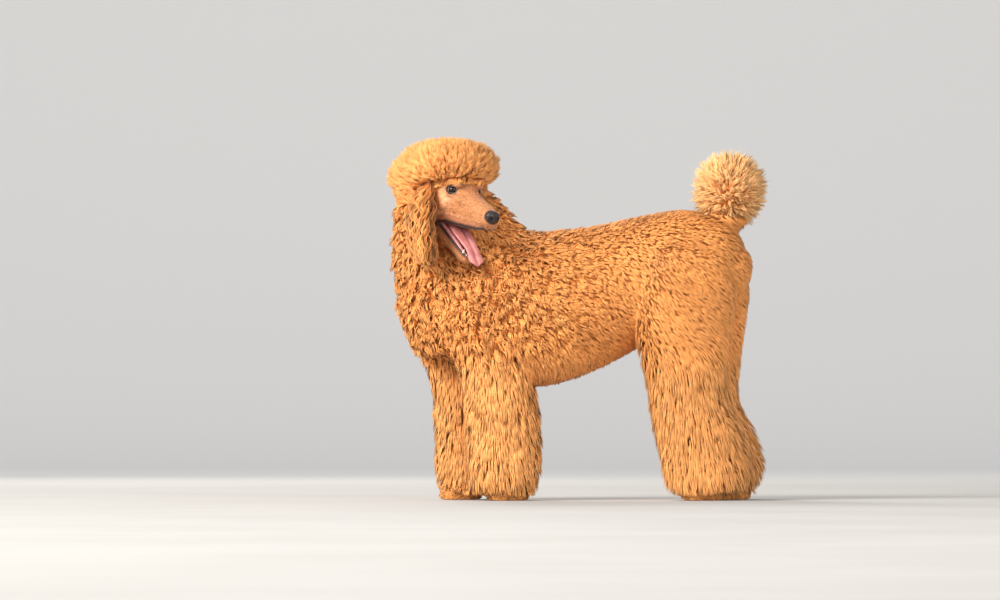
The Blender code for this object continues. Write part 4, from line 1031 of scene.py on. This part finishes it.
def makeKnotCoat():
    form, random, roots, normals = started("topknot")
    away = unit(inHead(roots) - np.array([-0.085, 0, -0.030])) @ headForward[:3, :3].T
    lies = np.broadcast_to(np.array([-0.2, 0, 1.0]), roots.shape)
    depths = depthsAt(roots, form) * 0.97
    paths, owner = growPaths(roots, unit(normals * 0.45 + away * 0.75), depths, lies, form, random)
    tufts = dressed(keepVisor(paths), owner, roots, unit(normals + away), form, random)
    splitCoat("coat_topknot", "topknot", form, tufts, np.argsort(roots[:, 0], kind="stable"))


def makeTailCoat():
    form, random, roots, normals = started("tail")
    away = unit(roots - np.array(tail["centre"]) + np.array([0, 0, 0.02]))
    lies = np.broadcast_to(np.array([0.0, 0, 0.2]), roots.shape)
    paths, owner = growPaths(roots, unit(normals * 0.4 + away * 0.8), depthsAt(roots, form), lies, form, random)
    tufts = dressed(paths, owner, roots, unit(normals + away), form, random)
    splitCoat("coat_tail", "tail", form, tufts, np.arange(len(roots)))


def makeEarCoat(side):
    # long wavy locks, down both faces of the lobe and past its end
    random = np.random.default_rng(40 + side)
    count, steps, rows = ear["locks"][side], ear["segments"], ear["tableRows"]
    wideAxis, proudAxis = (np.array(axis) for axis in earAxes(side)[3:])
    table = np.array([[*earPoint(side, k / rows)[0], *earPoint(side, k / rows)[1:]] for k in range(rows + 4)])
    start = random.uniform(0.0, ear["startTo"], count) ** 1.25
    end = np.minimum(start + random.uniform(*ear["long"], count), random.uniform(*ear["endAt"], count))
    outer = random.random(count) < ear["outer"]
    across0 = random.uniform(-0.86, 0.86, count)
    lock = np.round(across0 * 5 + random.normal(size=count) * 0.35)
    tier = np.floor(start * 5)
    phase = lock * 2.4 + tier * 1.9
    end = np.minimum(end, ear["endAt"][1] - 0.13 * ((lock * 0.617 + 0.3) % 1))
    across1 = lock / 5 * 0.88 + random.normal(size=count) * 0.050
    proud0 = np.where(outer, 0.9, -0.9) * ear["lobeThick"] - ear["inward"]
    proud1 = np.where(outer, random.uniform(-0.1, 0.95, count), random.uniform(-0.95, -0.5, count))
    s = np.linspace(0, 1, steps + 1)[None]
    t = start[:, None] + (end - start)[:, None] * s
    line = np.stack([np.interp(t, np.arange(rows + 4) / rows, table[:, k]) for k in range(5)], -1)
    swing = phase[:, None] + t * ear["waves"]
    wave = np.sin(swing) * ear["sway"] * blendStep(s, 0, 0.4)
    bulge = np.cos(swing * 1.13 + 0.8) * ear["bulge"] * blendStep(s, 0, 0.4)
    across = across0[:, None] + (across1 - across0)[:, None] * blendStep(s, 0, 0.8) + wave
    narrow = 1 - 0.25 * blendStep(t, 0.8, 1.0)
    proud = proud0[:, None] + (proud1 - proud0)[:, None] * blendStep(s, 0, 0.45) + bulge
    paths = (line[..., :3] + wideAxis * (line[..., 3] * across * narrow)[..., None]
             + proudAxis * (line[..., 4] * proud)[..., None])
    profile = np.interp(np.arange(steps) / (steps - 1), *ear["profile"])
    form = dict(segments=steps, flat=0.6, profile=profile)
    reference = proudAxis * np.where(outer, 1, -1)[:, None] + wideAxis * across0[:, None] * 0.6
    reference = unit(reference + random.normal(size=(count, 3)) * 0.25)
    tufts = dict(paths=paths, widths=ear["width"] * random.uniform(0.8, 1.25, count), reference=reference,
                 shades=random.random(count) * 0.5 + ((lock * 0.37 + tier * 0.21) % 1) * 0.5, roots=paths[:, 0])
    word = "left" if side > 0 else "right"
    splitCoat("coat_ear_" + word, "ear_" + word, form, tufts, np.arange(count))


def shortDepths(form, roots, random):
    return random.uniform(*form["length"], len(roots)) * form["rise"]


def mouthSide(q, outward):
    # whether a place of the head's skin faces into the open mouth
    return ((np.array([0.03, 0, -0.085]) - q) * outward).sum(1) > 0


def noseShare(q):
    # distance from the nose's middle, as a share of its size
    return np.linalg.norm((q - np.array(nose["middle"])) / np.array(nose["radii"]), axis=1)


# Where the face has no hair: reach from the lips, reach and share of the thin hair beyond, from the lids, and as a
# share of the nose's size.
bareReach = dict(lips=0.0062, thin=0.0150, thinShare=0.8, lids=0.0036, nose=1.25)


def makeFaceCoat():
    # the shaved face keeps very short hair that lies back, none on the lips, lids and nose
    form, random, roots, normals = started("face")
    q = inHead(roots)
    bare = np.zeros(len(q), bool)
    for side in (1, -1):
        lips = [sided(p, side) for p in head["upperLip"]]
        lips += [jawTurned(sided(p, side)) for p in head["lowerLip"]][::-1]
        line = lidLine(side)
        bare |= nearLine(q, lips, bareReach["lips"]) > 0.1
        bare |= nearLine(q, lips, bareReach["thin"]) * bareReach["thinShare"] > random.random(len(q))
        bare |= nearLine(q, line + line[:1], bareReach["lids"]) > 0.1
    bare |= noseShare(q) < bareReach["nose"]
    inner = (np.abs(q[:, 1]) < 0.030) & (q[:, 2] < -0.058) & (q[:, 0] > -0.03)
    bare |= inner & mouthSide(q, inHead(roots + normals * 0.01) - q)
    roots, normals = roots[~bare], normals[~bare]
    lies = np.broadcast_to(np.array(headMatrix.to_3x3() @ Vector((-1, 0, -0.25))), roots.shape)
    depths = shortDepths(form, roots, random)
    paths, owner = growPaths(roots - normals * form["sunk"], normals, depths, lies, form, random)
    tufts = dressed(paths, owner, roots, normals, form, random)
    # painted light: the hair over each cheek is made paler, as if lit
    for side in (1, -1):
        tufts["shades"] += (1 - tufts["shades"]) * 0.8 * paintedCheekLightAt(inHead(roots), side)
    splitCoat("coat_face", "head", form, tufts, np.arange(len(roots)))


def makeTempleCoat():
    # longer hair between the eye, the ear and the topknot
    form, random, roots, normals = started("temple")
    lower = blendStep(-inHead(roots)[:, 2], -0.01, 0.02)[:, None]
    ways = [np.array(headMatrix.to_3x3() @ Vector(way)) for way in ((-0.7, 0, -0.5), (-0.25, 0, -0.95))]
    lies = ways[0] * (1 - lower) + ways[1] * lower
    paths, owner = growPaths(roots, normals, shortDepths(form, roots, random), lies, form, random)
    tufts = dressed(keepVisor(paths), owner, roots, normals, form, random)
    splitCoat("coat_temple", "topknot", form, tufts, np.arange(len(roots)))


def makePawCoat():
    form, random, roots, normals = started("paw")
    lies = np.broadcast_to(np.array([-0.8, 0, -0.6]), roots.shape)
    paths, owner = growPaths(roots, normals, shortDepths(form, roots, random), lies, form, random)
    paths[:, :, 2] = np.maximum(paths[:, :, 2], form["lowest"])
    tufts = dressed(paths, owner, roots, normals, form, random)
    zone = (roots[:, 0] > 0).astype(int)
    for k, word in enumerate(("forepaw", "hindpaw")):
        splitCoat(f"coat_{word}s", word + "_left", form, tufts, np.flatnonzero(zone == k))


for kind in ("curly", "plush"):
    makeBodyCoat(kind)
print("body coat made")
makeKnotCoat()
makeTailCoat()
makePawCoat()
makeFaceCoat()
makeTempleCoat()
for side in (-1, 1):
    makeEarCoat(side)
print("coat", sum(len(p.data.loops) - 2 * len(p.data.polygons) for p, slot in coatPieces), "triangles in",
      len(coatPieces), "pieces")


# Small parts of the head. Each sits in head axes until headMatrix places it.
def makeEyeball(side):
    # the iris is flat behind a clear bulge; gaze runs from 0 at its middle to pi at the back
    bm = unitBall(64, 56)
    turn = eyeTurn(side) @ Matrix.Rotation(math.radians(90), 4, "Y")
    angles = []
    for v in bm.verts:
        angle = math.acos(max(-1, min(1, v.co.z)))
        angles.append(angle)
        bulge = eye["bulge"] * (1 - min(angle / eye["bulgeTo"], 1) ** 2)
        v.co = turn @ (v.co * (eye["radius"] - eye["gap"] + bulge))
    obj = newObject("eyeball_" + ("left" if side > 0 else "right"), bm, headMatrix)
    addAttribute(obj.data, "gaze", angles)
    return obj


def makeNose():
    obj = newObject("nose_leather", ball(nose["middle"], nose["radii"], 2.3, 48, 64))
    place, radii = nose["nostril"]
    for side in (1, -1):
        combine(obj, ball(sided(place, side), radii))
        combine(obj, tube([sided(p, side) for p in nose["slit"]], nose["slitRadii"], 12, 12))
    combine(obj, tube(nose["groove"], nose["grooveRadii"], 12, 12))
    remesh(obj, nose["voxel"], 3)
    obj.data.transform(headMatrix)
    return obj


# Tongue: along, across, height of its middle, half width, half thickness.
tongue = dict(stations=[
    (-0.030, 0.000, -0.074, 0.0220, 0.0070), (-0.010, 0.000, -0.080, 0.0240, 0.0075),
    (0.012, 0.001, -0.091, 0.0230, 0.0072), (0.032, 0.003, -0.1045, 0.0195, 0.0066),
    (0.047, 0.006, -0.1170, 0.0170, 0.0060), (0.060, 0.009, -0.1290, 0.0180, 0.0054),
    (0.0655, 0.011, -0.1365, 0.0185, 0.0050), (0.0700, 0.0115, -0.1420, 0.0160, 0.0046),
    (0.0730, 0.012, -0.1460, 0.0118, 0.0040), (0.0745, 0.0125, -0.1480, 0.0065, 0.0032),
], groove=0.0042, grooveWide=0.20, edge=0.0016, sides=48)


def makeTongue():
    sides = tongue["sides"]
    stations = [((a, b, h), w, t, 2.2) for a, b, h, w, t in tongue["stations"]]
    bm = loft(stations, (0, 1, 0), sides, 70, (0.6, 0.9))
    bm.verts.ensure_lookup_table()
    rings = len(bm.verts) // sides
    moves = []
    for r in range(rings):
        ring = bm.verts[r * sides:(r + 1) * sides]
        middle = sum((v.co for v in ring), Vector()) / sides
        left = (ring[0].co - ring[sides // 2].co).normalized()
        up = (ring[sides // 4].co - ring[3 * sides // 4].co).normalized()
        half = max((ring[0].co - middle).length, 0.0001)
        fade = math.sin(math.pi * r / rings) ** 0.4
        for v in ring:
            across = (v.co - middle).dot(left) / half
            top = (v.co - middle).dot(up) > 0
            dip = math.exp(-((across - 0.10 * math.sin(r * 0.09)) / tongue["grooveWide"]) ** 2)
            lift = -tongue["groove"] * dip * fade * (1 if top else 0.45)
            lift += tongue["edge"] * across ** 2 * math.sin(r * 0.21 + 1.3 * (across > 0)) * fade
            moves.append((v, up * lift))
    for v, move in moves:
        v.co += move
    obj = newObject("tongue_flesh", bm, headMatrix)
    modify(obj, "SUBSURF", levels=1, render_levels=1)
    return obj


# Teeth of the lower jaw that the tongue leaves bare: root of the shut jaw, height, radius and how far it bends back.
teeth = dict(rows=[
    ((0.0760, -0.0142, -0.0680), 0.0130, 0.0030, 0.0020), ((0.0850, -0.0100, -0.0680), 0.0078, 0.0021, 0.0004),
    ((0.0875, -0.0058, -0.0680), 0.0072, 0.0020, 0.0004), ((0.0890, -0.0018, -0.0680), 0.0068, 0.0019, 0.0004),
], sunk=0.002)


def makeTeeth():
    made = []
    for (x, y, z), height, radius, back in teeth["rows"]:
        rows = []
        for k in range(6):
            s = k / 5
            point = jawTurned((x - back * s * s, y, z - teeth["sunk"] + (height + teeth["sunk"]) * s))
            rows.append((point, radius * (1 - 0.85 * s ** 1.8), radius * (1 - 0.88 * s ** 1.5)))
        made.append(loft(rows, (0, 1, 0), 16, 12, (0.3, 0.9)))
    return heap("teeth", made, headMatrix)


# Gums: the wet inner side of the lower lip, from the corner of the mouth to the front.
gum = dict(line=[
    (-0.024, 0.0345, -0.0590), (-0.004, 0.0285, -0.0620), (0.020, 0.0225, -0.0635), (0.045, 0.0170, -0.0640),
    (0.066, 0.0125, -0.0650), (0.080, 0.0080, -0.0660), (0.0850, 0.002, -0.0665),
], radii=[0.0040, 0.0048, 0.0050, 0.0046, 0.0040, 0.0032, 0.0026], voxel=0.0009)


def makeGums():
    obj = heap("gums", [tube([jawTurned(sided(p, side)) for p in gum["line"]], gum["radii"], 14, 50)
                        for side in (1, -1)], headMatrix)
    remesh(obj, gum["voxel"], 3)
    return obj


claw = dict(ahead=0.0125, raised=0.0015, length=0.014, radius=0.0029, drop=0.0065)


def makeClaws():
    made = []
    forward = Vector(paw["turn"]).normalized()
    for leg in legs.values():
        for place in toePlaces(leg):
            root = place + forward * claw["ahead"]
            rows = []
            for k in range(5):
                s = k / 4
                point = root + forward * claw["length"] * s + Vector((0, 0, claw["raised"] - claw["drop"] * s ** 1.6))
                wide = claw["radius"] * (1 - 0.9 * s ** 1.4)
                rows.append((point, wide, wide * 1.15))
            made.append(loft(rows, (0, 1, 0), 10, 8, (0.2, 0.8)))
    return heap("claws", made)


# Marks on the skin of the head, each from 0 to 1: which mark a form leaves, how far it reaches and how strong it is.
# The mark behind each eye's outer corner is painted shade in its crease.
marks = dict(lipBorder=("warm", 0.0140, 0.70), jawBorder=("warm", 0.0090, 0.55), lip=("lip", 0.0080, 1),
             jawLip=("lip", 0.0052, 1), lid=("rim", 0.0046, 1), creaseShade=("rim", 0.0028, 0.75),
             underEye=("warm", 0.0085, 0.85))
# pale: the strength of the painted light on the cheeks
markSpans = dict(nose=(1.04, 1.20), mouth=(0.0010, 0.0022), pale=0.9)
underEye = [(-0.0075, 0.0085), (-0.003, 0.0115), (0.003, 0.0115), (0.0075, 0.0085)]


def markSkin():
    count = len(skin.data.vertices)
    q = inHead(readAll(skin.data.vertices, "co", 3).astype(float))
    found = {label: np.zeros(count) for label in ("lip", "rim", "mouth", "warm", "pale")}
    near = np.flatnonzero((q[:, 0] > -0.09) & (np.abs(q[:, 1]) < 0.07) & (q[:, 2] < 0.03) & (q[:, 2] > -0.17))
    spots = q[near]

    def mark(label, values):
        found[label][near] = np.maximum(found[label][near], values)

    def markLine(form, line):
        label, reach, strength = marks[form]
        mark(label, nearLine(spots, line, reach) * strength)

    for side in (1, -1):
        upper = [(x, y * side, z - 0.0016) for x, y, z in head["upperLip"]]
        lower = [jawTurned((x, y * side, z + 0.0018)) for x, y, z in head["lowerLip"]]
        border = [(x, y, z + 0.0050) for x, y, z in upper[1:-1]]
        markLine("lipBorder", border)
        markLine("jawBorder", lower)
        markLine("lip", upper[1:])
        markLine("jawLip", [upper[-1]] + lower[::-1])
        # painted light: the cheek's skin made paler, as if lit
        mark("pale", markSpans["pale"] * paintedCheekLightAt(spots, side))
        line = lidLine(side)
        markLine("lid", line + line[:1])
        # painted shade: a dark line back from the eye's outer corner, along its crease
        corner = min(line, key=lambda p: p.x)
        markLine("creaseShade", [corner, corner + Vector((-0.016, 0.004 * side, -0.002))])
        reach = eye["radius"] + 0.0030
        markLine("underEye", [eyeTurn(side) @ Vector((math.sqrt(reach ** 2 - y ** 2 - drop ** 2), y, -drop))
                              for y, drop in underEye])
    mark("rim", 1 - blendStep(noseShare(spots), *markSpans["nose"]))
    for hollow in mouthHollows():
        tree = treeOf(newObject("hollow", hollow))
        distance = np.array([tree.find_nearest(p)[3] for p in spots.tolist()])
        mark("mouth", 1 - blendStep(distance, *markSpans["mouth"]))
    for label, values in found.items():
        addAttribute(skin.data, label, values)


eyeballs = {side: makeEyeball(side) for side in (1, -1)}
noseLeather = makeNose()
tongueFlesh = makeTongue()
teethPiece = makeTeeth()
gums = makeGums()
clawPiece = makeClaws()
markSkin()
print("head's small parts made")


# Materials. Groups hold what several of them share.
def setInputs(made, **values):
    for key, value in values.items():
        made.inputs[key.replace("_", " ")].default_value = value


def node(tree, kind, **settings):
    made = tree.nodes.new(kind)
    for key, value in settings.items():
        setattr(made, key, value)
    return made


def mixColour(tree, factor, a, b):
    mix = node(tree, "ShaderNodeMix", data_type="RGBA")
    for key, value in ((0, factor), (6, a), (7, b)):
        if hasattr(value, "is_linked"):
            tree.links.new(value, mix.inputs[key])
        else:
            mix.inputs[key].default_value = (*value, 1)
    return mix.outputs[2]


def mapRange(tree, value, *limits):
    # limits: from where to where it rises, then the least and most of the result, if they aren't 0 and 1
    made = node(tree, "ShaderNodeMapRange", interpolation_type="SMOOTHSTEP")
    tree.links.new(value, made.inputs["Value"])
    setInputs(made, **dict(zip(("From_Min", "From_Max", "To_Min", "To_Max"), limits)))
    return made.outputs["Result"]


def attributeOf(tree, name):
    return node(tree, "ShaderNodeAttribute", attribute_name=name).outputs["Fac"]


def objectPlace(tree):
    return node(tree, "ShaderNodeTexCoord").outputs["Object"]


def noise(tree, scale, detail=3.0):
    made = node(tree, "ShaderNodeTexNoise")
    setInputs(made, Scale=scale, Detail=detail, Roughness=0.55)
    tree.links.new(objectPlace(tree), made.inputs["Vector"])
    return made.outputs["Fac"]


def raised(tree, shader, height, strength, distance):
    bump = node(tree, "ShaderNodeBump")
    setInputs(bump, Strength=strength, Distance=distance)
    tree.links.new(height, bump.inputs["Height"])
    tree.links.new(bump.outputs["Normal"], shader.inputs["Normal"])


def makeHairGroup():
    # colour of a tuft: deeper at the root as painted shade inside the coat, paler at the tip as painted light on its
    # outside, each one a little unlike the next
    group = bpy.data.node_groups.new("hairColour", "ShaderNodeTree")
    sockets = dict(Coat="Color", Root="Color", Tip="Color", Vary="Float", Patches="Float")
    for name, kind in sockets.items():
        group.interface.new_socket(name=name, in_out="INPUT", socket_type="NodeSocket" + kind)
    group.interface.new_socket(name="Color", in_out="OUTPUT", socket_type="NodeSocketColor")
    ends = node(group, "NodeGroupInput").outputs
    along = attributeOf(group, "along")
    patchy = noise(group, 11.0, 4.0)
    group.links.new(ends["Patches"], patchy.node.inputs["Scale"])
    colour = mixColour(group, mapRange(group, along, 0.0, 0.55, 1.0, 0.0), ends["Coat"], ends["Root"])
    colour = mixColour(group, mapRange(group, along, 0.45, 1.0, 0.0, 0.85), colour, ends["Tip"])
    add = node(group, "ShaderNodeMath", operation="ADD")
    group.links.new(mapRange(group, attributeOf(group, "shade"), 0, 1, -0.5, 0.5), add.inputs[0])
    group.links.new(mapRange(group, patchy, 0.3, 0.7, -0.35, 0.35), add.inputs[1])
    scale = node(group, "ShaderNodeMath", operation="MULTIPLY_ADD")
    group.links.new(add.outputs[0], scale.inputs[0])
    group.links.new(ends["Vary"], scale.inputs[1])
    scale.inputs[2].default_value = 1.0
    hue = node(group, "ShaderNodeHueSaturation")
    group.links.new(colour, hue.inputs["Color"])
    group.links.new(scale.outputs[0], hue.inputs["Value"])
    group.links.new(hue.outputs["Color"], node(group, "NodeGroupOutput").inputs["Color"])
    return group


hairGroup = makeHairGroup()


def material(name, rough, **values):
    made = bpy.data.materials.get(name) or bpy.data.materials.new(name)
    made.use_nodes = True
    shader = made.node_tree.nodes["Principled BSDF"]
    setInputs(shader, Roughness=rough, **values)
    return made, made.node_tree, shader


def mottled(name, rough, deep, pale, scale, detail=3.0, span=(0.3, 0.7), **values):
    # a material of two tones in soft patches
    made, tree, shader = material(name, rough, **values)
    patches = noise(tree, scale, detail)
    tree.links.new(mixColour(tree, mapRange(tree, patches, *span), deep, pale), shader.inputs["Base Color"])
    return made, tree, shader, patches


# Colours of the coat: body, root and tip, in linear values. The darker root is painted shade inside the coat, the
# paler tip painted light on its outside.
hairColours = dict(
    body=((0.90, 0.340, 0.088), (0.88, 0.315, 0.078), (0.93, 0.395, 0.120)),
    leg=((0.93, 0.385, 0.108), (0.91, 0.360, 0.096), (0.95, 0.440, 0.148)),
    topknot=((0.92, 0.385, 0.112), (0.90, 0.355, 0.098), (0.94, 0.435, 0.145)),
    tail=((0.95, 0.485, 0.175), (0.93, 0.430, 0.140), (0.97, 0.610, 0.300)),
    face=((0.58, 0.243, 0.096), (0.42, 0.152, 0.055), (0.68, 0.320, 0.150)),
    ear=((0.84, 0.320, 0.086), (0.74, 0.255, 0.062), (0.90, 0.390, 0.122)),
)
legHeights = (0.34, 0.24)                        # where the body's colour becomes that of the legs


def hairMaterial(name, colours, vary, lower=None, patches=11.0):
    made, tree, shader = material(name, 0.62, Sheen_Weight=0.15, Sheen_Roughness=0.4,
                                  Sheen_Tint=(1.0, 0.72, 0.45, 1), Specular_IOR_Level=0.25)
    group = node(tree, "ShaderNodeGroup", node_tree=hairGroup)
    setInputs(group, Vary=vary, Patches=patches)
    for label, colour, other in zip(("Coat", "Root", "Tip"), colours, lower or colours):
        if lower:
            place = node(tree, "ShaderNodeSeparateXYZ")
            tree.links.new(objectPlace(tree), place.inputs[0])
            low = mapRange(tree, place.outputs["Z"], *legHeights)
            tree.links.new(mixColour(tree, low, colour, other), group.inputs[label])
        else:
            group.inputs[label].default_value = (*colour, 1)
    tree.links.new(group.outputs["Color"], shader.inputs["Base Color"])
    tree.links.new(mapRange(tree, attributeOf(tree, "shade"), 0, 1, 0.52, 0.74), shader.inputs["Roughness"])
    return made


# pale is painted light on the cheeks; rim is the dark lid rims and also painted shade in the crease behind each eye's
# outer corner
faceColours = dict(deep=(0.47, 0.178, 0.062), light=(0.58, 0.255, 0.106), speck=(0.42, 0.155, 0.052),
                   pale=(0.92, 0.520, 0.270), warm=(0.30, 0.098, 0.046), mouth=(0.16, 0.030, 0.028),
                   lip=(0.030, 0.014, 0.012), rim=(0.028, 0.014, 0.011))


def faceMaterial():
    # shaved skin: short hair, dark lips and lid rims, the wet inside of the mouth, painted light on the cheeks and
    # painted shade behind each eye's outer corner
    made, tree, shader = material("face", 0.6, Sheen_Weight=0.3, Sheen_Roughness=0.4)
    broad = mapRange(tree, noise(tree, 38.0, 4.0), 0.3, 0.7)
    colour = mixColour(tree, broad, faceColours["deep"], faceColours["light"])
    speck = mapRange(tree, noise(tree, 330.0, 2.0), 0.52, 0.68, 0.0, 0.75)
    colour = mixColour(tree, speck, colour, faceColours["speck"])
    for label in ("pale", "warm", "mouth", "lip", "rim"):
        colour = mixColour(tree, attributeOf(tree, label), colour, faceColours[label])
    tree.links.new(colour, shader.inputs["Base Color"])
    wet = node(tree, "ShaderNodeMath", operation="MAXIMUM")
    tree.links.new(attributeOf(tree, "mouth"), wet.inputs[0])
    tree.links.new(attributeOf(tree, "lip"), wet.inputs[1])
    tree.links.new(mapRange(tree, wet.outputs[0], 0, 1, 0.68, 0.34), shader.inputs["Roughness"])
    raised(tree, shader, noise(tree, 900.0, 2.0), 0.5, 0.0010)


# Eye: colours of the iris, pupil, rim and white, and the angles from the gaze at which each one ends.
eyeColours = dict(irisDeep=(0.007, 0.003, 0.0015), iris=(0.019, 0.007, 0.003), pupil=(0.003, 0.002, 0.002),
                  rim=(0.014, 0.006, 0.004), white=(0.34, 0.22, 0.17),
                  pupilEnd=(0.235, 0.265), irisEnd=(0.56, 0.64), rimEnd=(0.70, 0.82))


def eyeMaterial():
    made, tree, shader = material("eye", 0.12, Coat_Weight=0.45, Coat_Roughness=0.02, Specular_IOR_Level=0.25)
    gaze = attributeOf(tree, "gaze")
    streaks = mapRange(tree, noise(tree, 1400.0, 2.0), 0.3, 0.7)
    iris = mixColour(tree, streaks, eyeColours["irisDeep"], eyeColours["iris"])
    colour = mixColour(tree, mapRange(tree, gaze, *eyeColours["pupilEnd"]), eyeColours["pupil"], iris)
    colour = mixColour(tree, mapRange(tree, gaze, *eyeColours["irisEnd"]), colour, eyeColours["rim"])
    colour = mixColour(tree, mapRange(tree, gaze, *eyeColours["rimEnd"]), colour, eyeColours["white"])
    tree.links.new(colour, shader.inputs["Base Color"])
    return made


def noseMaterial():
    made, tree, shader, broad = mottled("nose", 0.34, (0.012, 0.0080, 0.0074), (0.036, 0.024, 0.022), 120.0,
                                        Coat_Weight=0.30, Coat_Roughness=0.12, Specular_IOR_Level=0.35)
    tree.links.new(mapRange(tree, broad, 0.3, 0.7, 0.26, 0.42), shader.inputs["Roughness"])
    cells = node(tree, "ShaderNodeTexVoronoi", feature="DISTANCE_TO_EDGE")
    setInputs(cells, Scale=900.0)
    tree.links.new(objectPlace(tree), cells.inputs["Vector"])
    raised(tree, shader, mapRange(tree, cells.outputs["Distance"], 0.0, 0.25), 0.6, 0.0004)
    return made


def wetMaterial(name, pale, deep, scale):
    # tongue and gums: wet, with fine grain
    made, tree, shader, broad = mottled(name, 0.30, deep, pale, scale, 4.0, (0.32, 0.68),
                                        Coat_Weight=0.25, Coat_Roughness=0.22)
    raised(tree, shader, noise(tree, 1500.0, 2.0), 0.5, 0.0005)
    return made


def hardMaterial(name, pale, deep, rough, scale):
    # teeth and claws
    return mottled(name, rough, deep, pale, scale, Coat_Weight=0.3, Coat_Roughness=0.2)[0]


hairMaterials = {
    "torso": hairMaterial("coatBody", hairColours["body"], 0.28, hairColours["leg"]),
    "topknot": hairMaterial("coatTopknot", hairColours["topknot"], 0.24),
    "tail": hairMaterial("coatTail", hairColours["tail"], 0.25),
    "ear": hairMaterial("coatEar", hairColours["ear"], 0.32),
    "head": hairMaterial("coatFace", hairColours["face"], 0.80, None, 190.0),
}
faceMaterial()
# The skin's colour is darker than the coat's: painted shade deep in the coat between the tufts.
mottled("skin", 0.9, (0.66, 0.250, 0.066), (0.78, 0.310, 0.086), 30.0)       # seen only between the tufts


def finishPiece(obj, made, replaces=()):
    if made is not None:
        obj.data.materials.clear()
        obj.data.materials.append(made)
    obj.data.transform(onFrame)
    obj.data.shade_smooth()
    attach(obj, "root")
    if replaces:
        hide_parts(*replaces)


flesh = ["torso", "neck", "tail", "topknot", "head", "lower_jaw", "ear_left", "ear_right"]
flesh += list(legs) + [name.replace("leg", "paw") for name in legs]
finishPiece(skin, None, flesh)
for piece, slot in coatPieces:
    finishPiece(piece, hairMaterials.get(slot.split("_")[0], hairMaterials["torso"]))
for side, obj in eyeballs.items():
    word = "eye_" + ("left" if side > 0 else "right")
    finishPiece(obj, eyeMaterial(), [word])
finishPiece(noseLeather, noseMaterial(), ["nose"])
finishPiece(tongueFlesh, wetMaterial("tongue", (0.74, 0.28, 0.26), (0.54, 0.16, 0.15), 60.0), ["tongue"])
finishPiece(gums, wetMaterial("gum", (0.72, 0.31, 0.29), (0.46, 0.15, 0.145), 90.0))
finishPiece(teethPiece, hardMaterial("tooth", (0.86, 0.80, 0.66), (0.72, 0.62, 0.44), 0.25, 200.0))
finishPiece(clawPiece, hardMaterial("claw", (0.10, 0.060, 0.040), (0.030, 0.018, 0.013), 0.35, 260.0))
print("pieces placed")

# Floor and backdrop: how far the floor reaches, where it bends up and how high it ends, and its colours near and far.
studio = dict(floorHalf=16.0, backAt=13.0, backHigh=9.0, bend=4.0, floorDeep=(0.42, 0.41, 0.395),
              floorPale=(0.45, 0.44, 0.425), farColour=(0.90, 0.885, 0.865), farFrom=(0, -4.0, 0),
              farReach=(6.3, 13.5), worldColour=(0.92, 0.94, 0.97, 1), worldStrength=0.58)
lights = dict(
    key=dict(place=(-5.6, -5.4, 4.8), target=(0, 0, 0.4), size=5.0, power=1130, colour=(1.0, 0.955, 0.89)),
    fill=dict(place=(5.0, -6.5, 2.6), target=(0, 0, 0.4), size=4.5, power=240, colour=(1.0, 0.97, 0.94)),
    back=dict(place=(-1.8, 4.2, 4.2), target=(0, 0, 0.5), size=2.4, power=200, colour=(1.0, 0.95, 0.88)),
)
# Camera: the picture's width in metres at the dog, how far it stands, its height and the middle of its view.
view = dict(distance=9.0, metresWide=2.22, height=0.12, middle=(-0.1676, 0.444), sensor=36.0)


def makeFloor():
    rows = [(-studio["floorHalf"], 0.0)]
    for k in range(13):
        a = math.radians(90 * k / 12)
        rows.append((studio["backAt"] + studio["bend"] * math.sin(a), studio["bend"] * (1 - math.cos(a))))
    rows.append((studio["backAt"] + studio["bend"], studio["backHigh"]))
    bm = bmesh.new()
    lines = [[bm.verts.new((x, y, z)) for y, z in rows] for x in (-studio["floorHalf"], studio["floorHalf"])]
    for k in range(len(rows) - 1):
        bm.faces.new((lines[0][k], lines[1][k], lines[1][k + 1], lines[0][k + 1]))
    floor = newObject("floor", bm)
    floor.data.shade_smooth()
    made, tree, shader = material("floor", 0.85)
    soft = mapRange(tree, noise(tree, 2.0, 2.0), 0.3, 0.7)
    near = mixColour(tree, soft, studio["floorDeep"], studio["floorPale"])
    reach = node(tree, "ShaderNodeVectorMath", operation="DISTANCE")
    tree.links.new(objectPlace(tree), reach.inputs[0])
    reach.inputs[1].default_value = studio["farFrom"]
    far = mapRange(tree, reach.outputs["Value"], *studio["farReach"])
    tree.links.new(mixColour(tree, far, near, studio["farColour"]), shader.inputs["Base Color"])
    floor.data.materials.append(made)


def aimed(obj, place, target):
    obj.location = place
    obj.rotation_euler = (Vector(target) - Vector(place)).to_track_quat("-Z", "Y").to_euler()


def makeLights():
    for name, form in lights.items():
        light = bpy.data.lights.new(name, "AREA")
        light.shape = "DISK"
        light.size = form["size"]
        light.energy = form["power"]
        light.color = form["colour"]
        aimed(linked(name, light), form["place"], form["target"])
    world = bpy.data.worlds.new("studio")
    world.use_nodes = True
    setInputs(world.node_tree.nodes["Background"], Color=studio["worldColour"], Strength=studio["worldStrength"])
    bpy.context.scene.world = world
    bpy.context.scene.view_settings.view_transform = "Standard"


def makeCamera():
    camera = bpy.data.cameras.new("camera")
    camera.sensor_width = view["sensor"]
    camera.lens = view["sensor"] * view["distance"] / view["metresWide"]
    x, z = view["middle"]
    obj = linked("camera", camera)
    aimed(obj, shift + Vector((x, -view["distance"], view["height"])), shift + Vector((x, 0, z)))
    bpy.context.scene.camera = obj


makeFloor()
makeLights()
makeCamera()
print("floor, light and camera made")
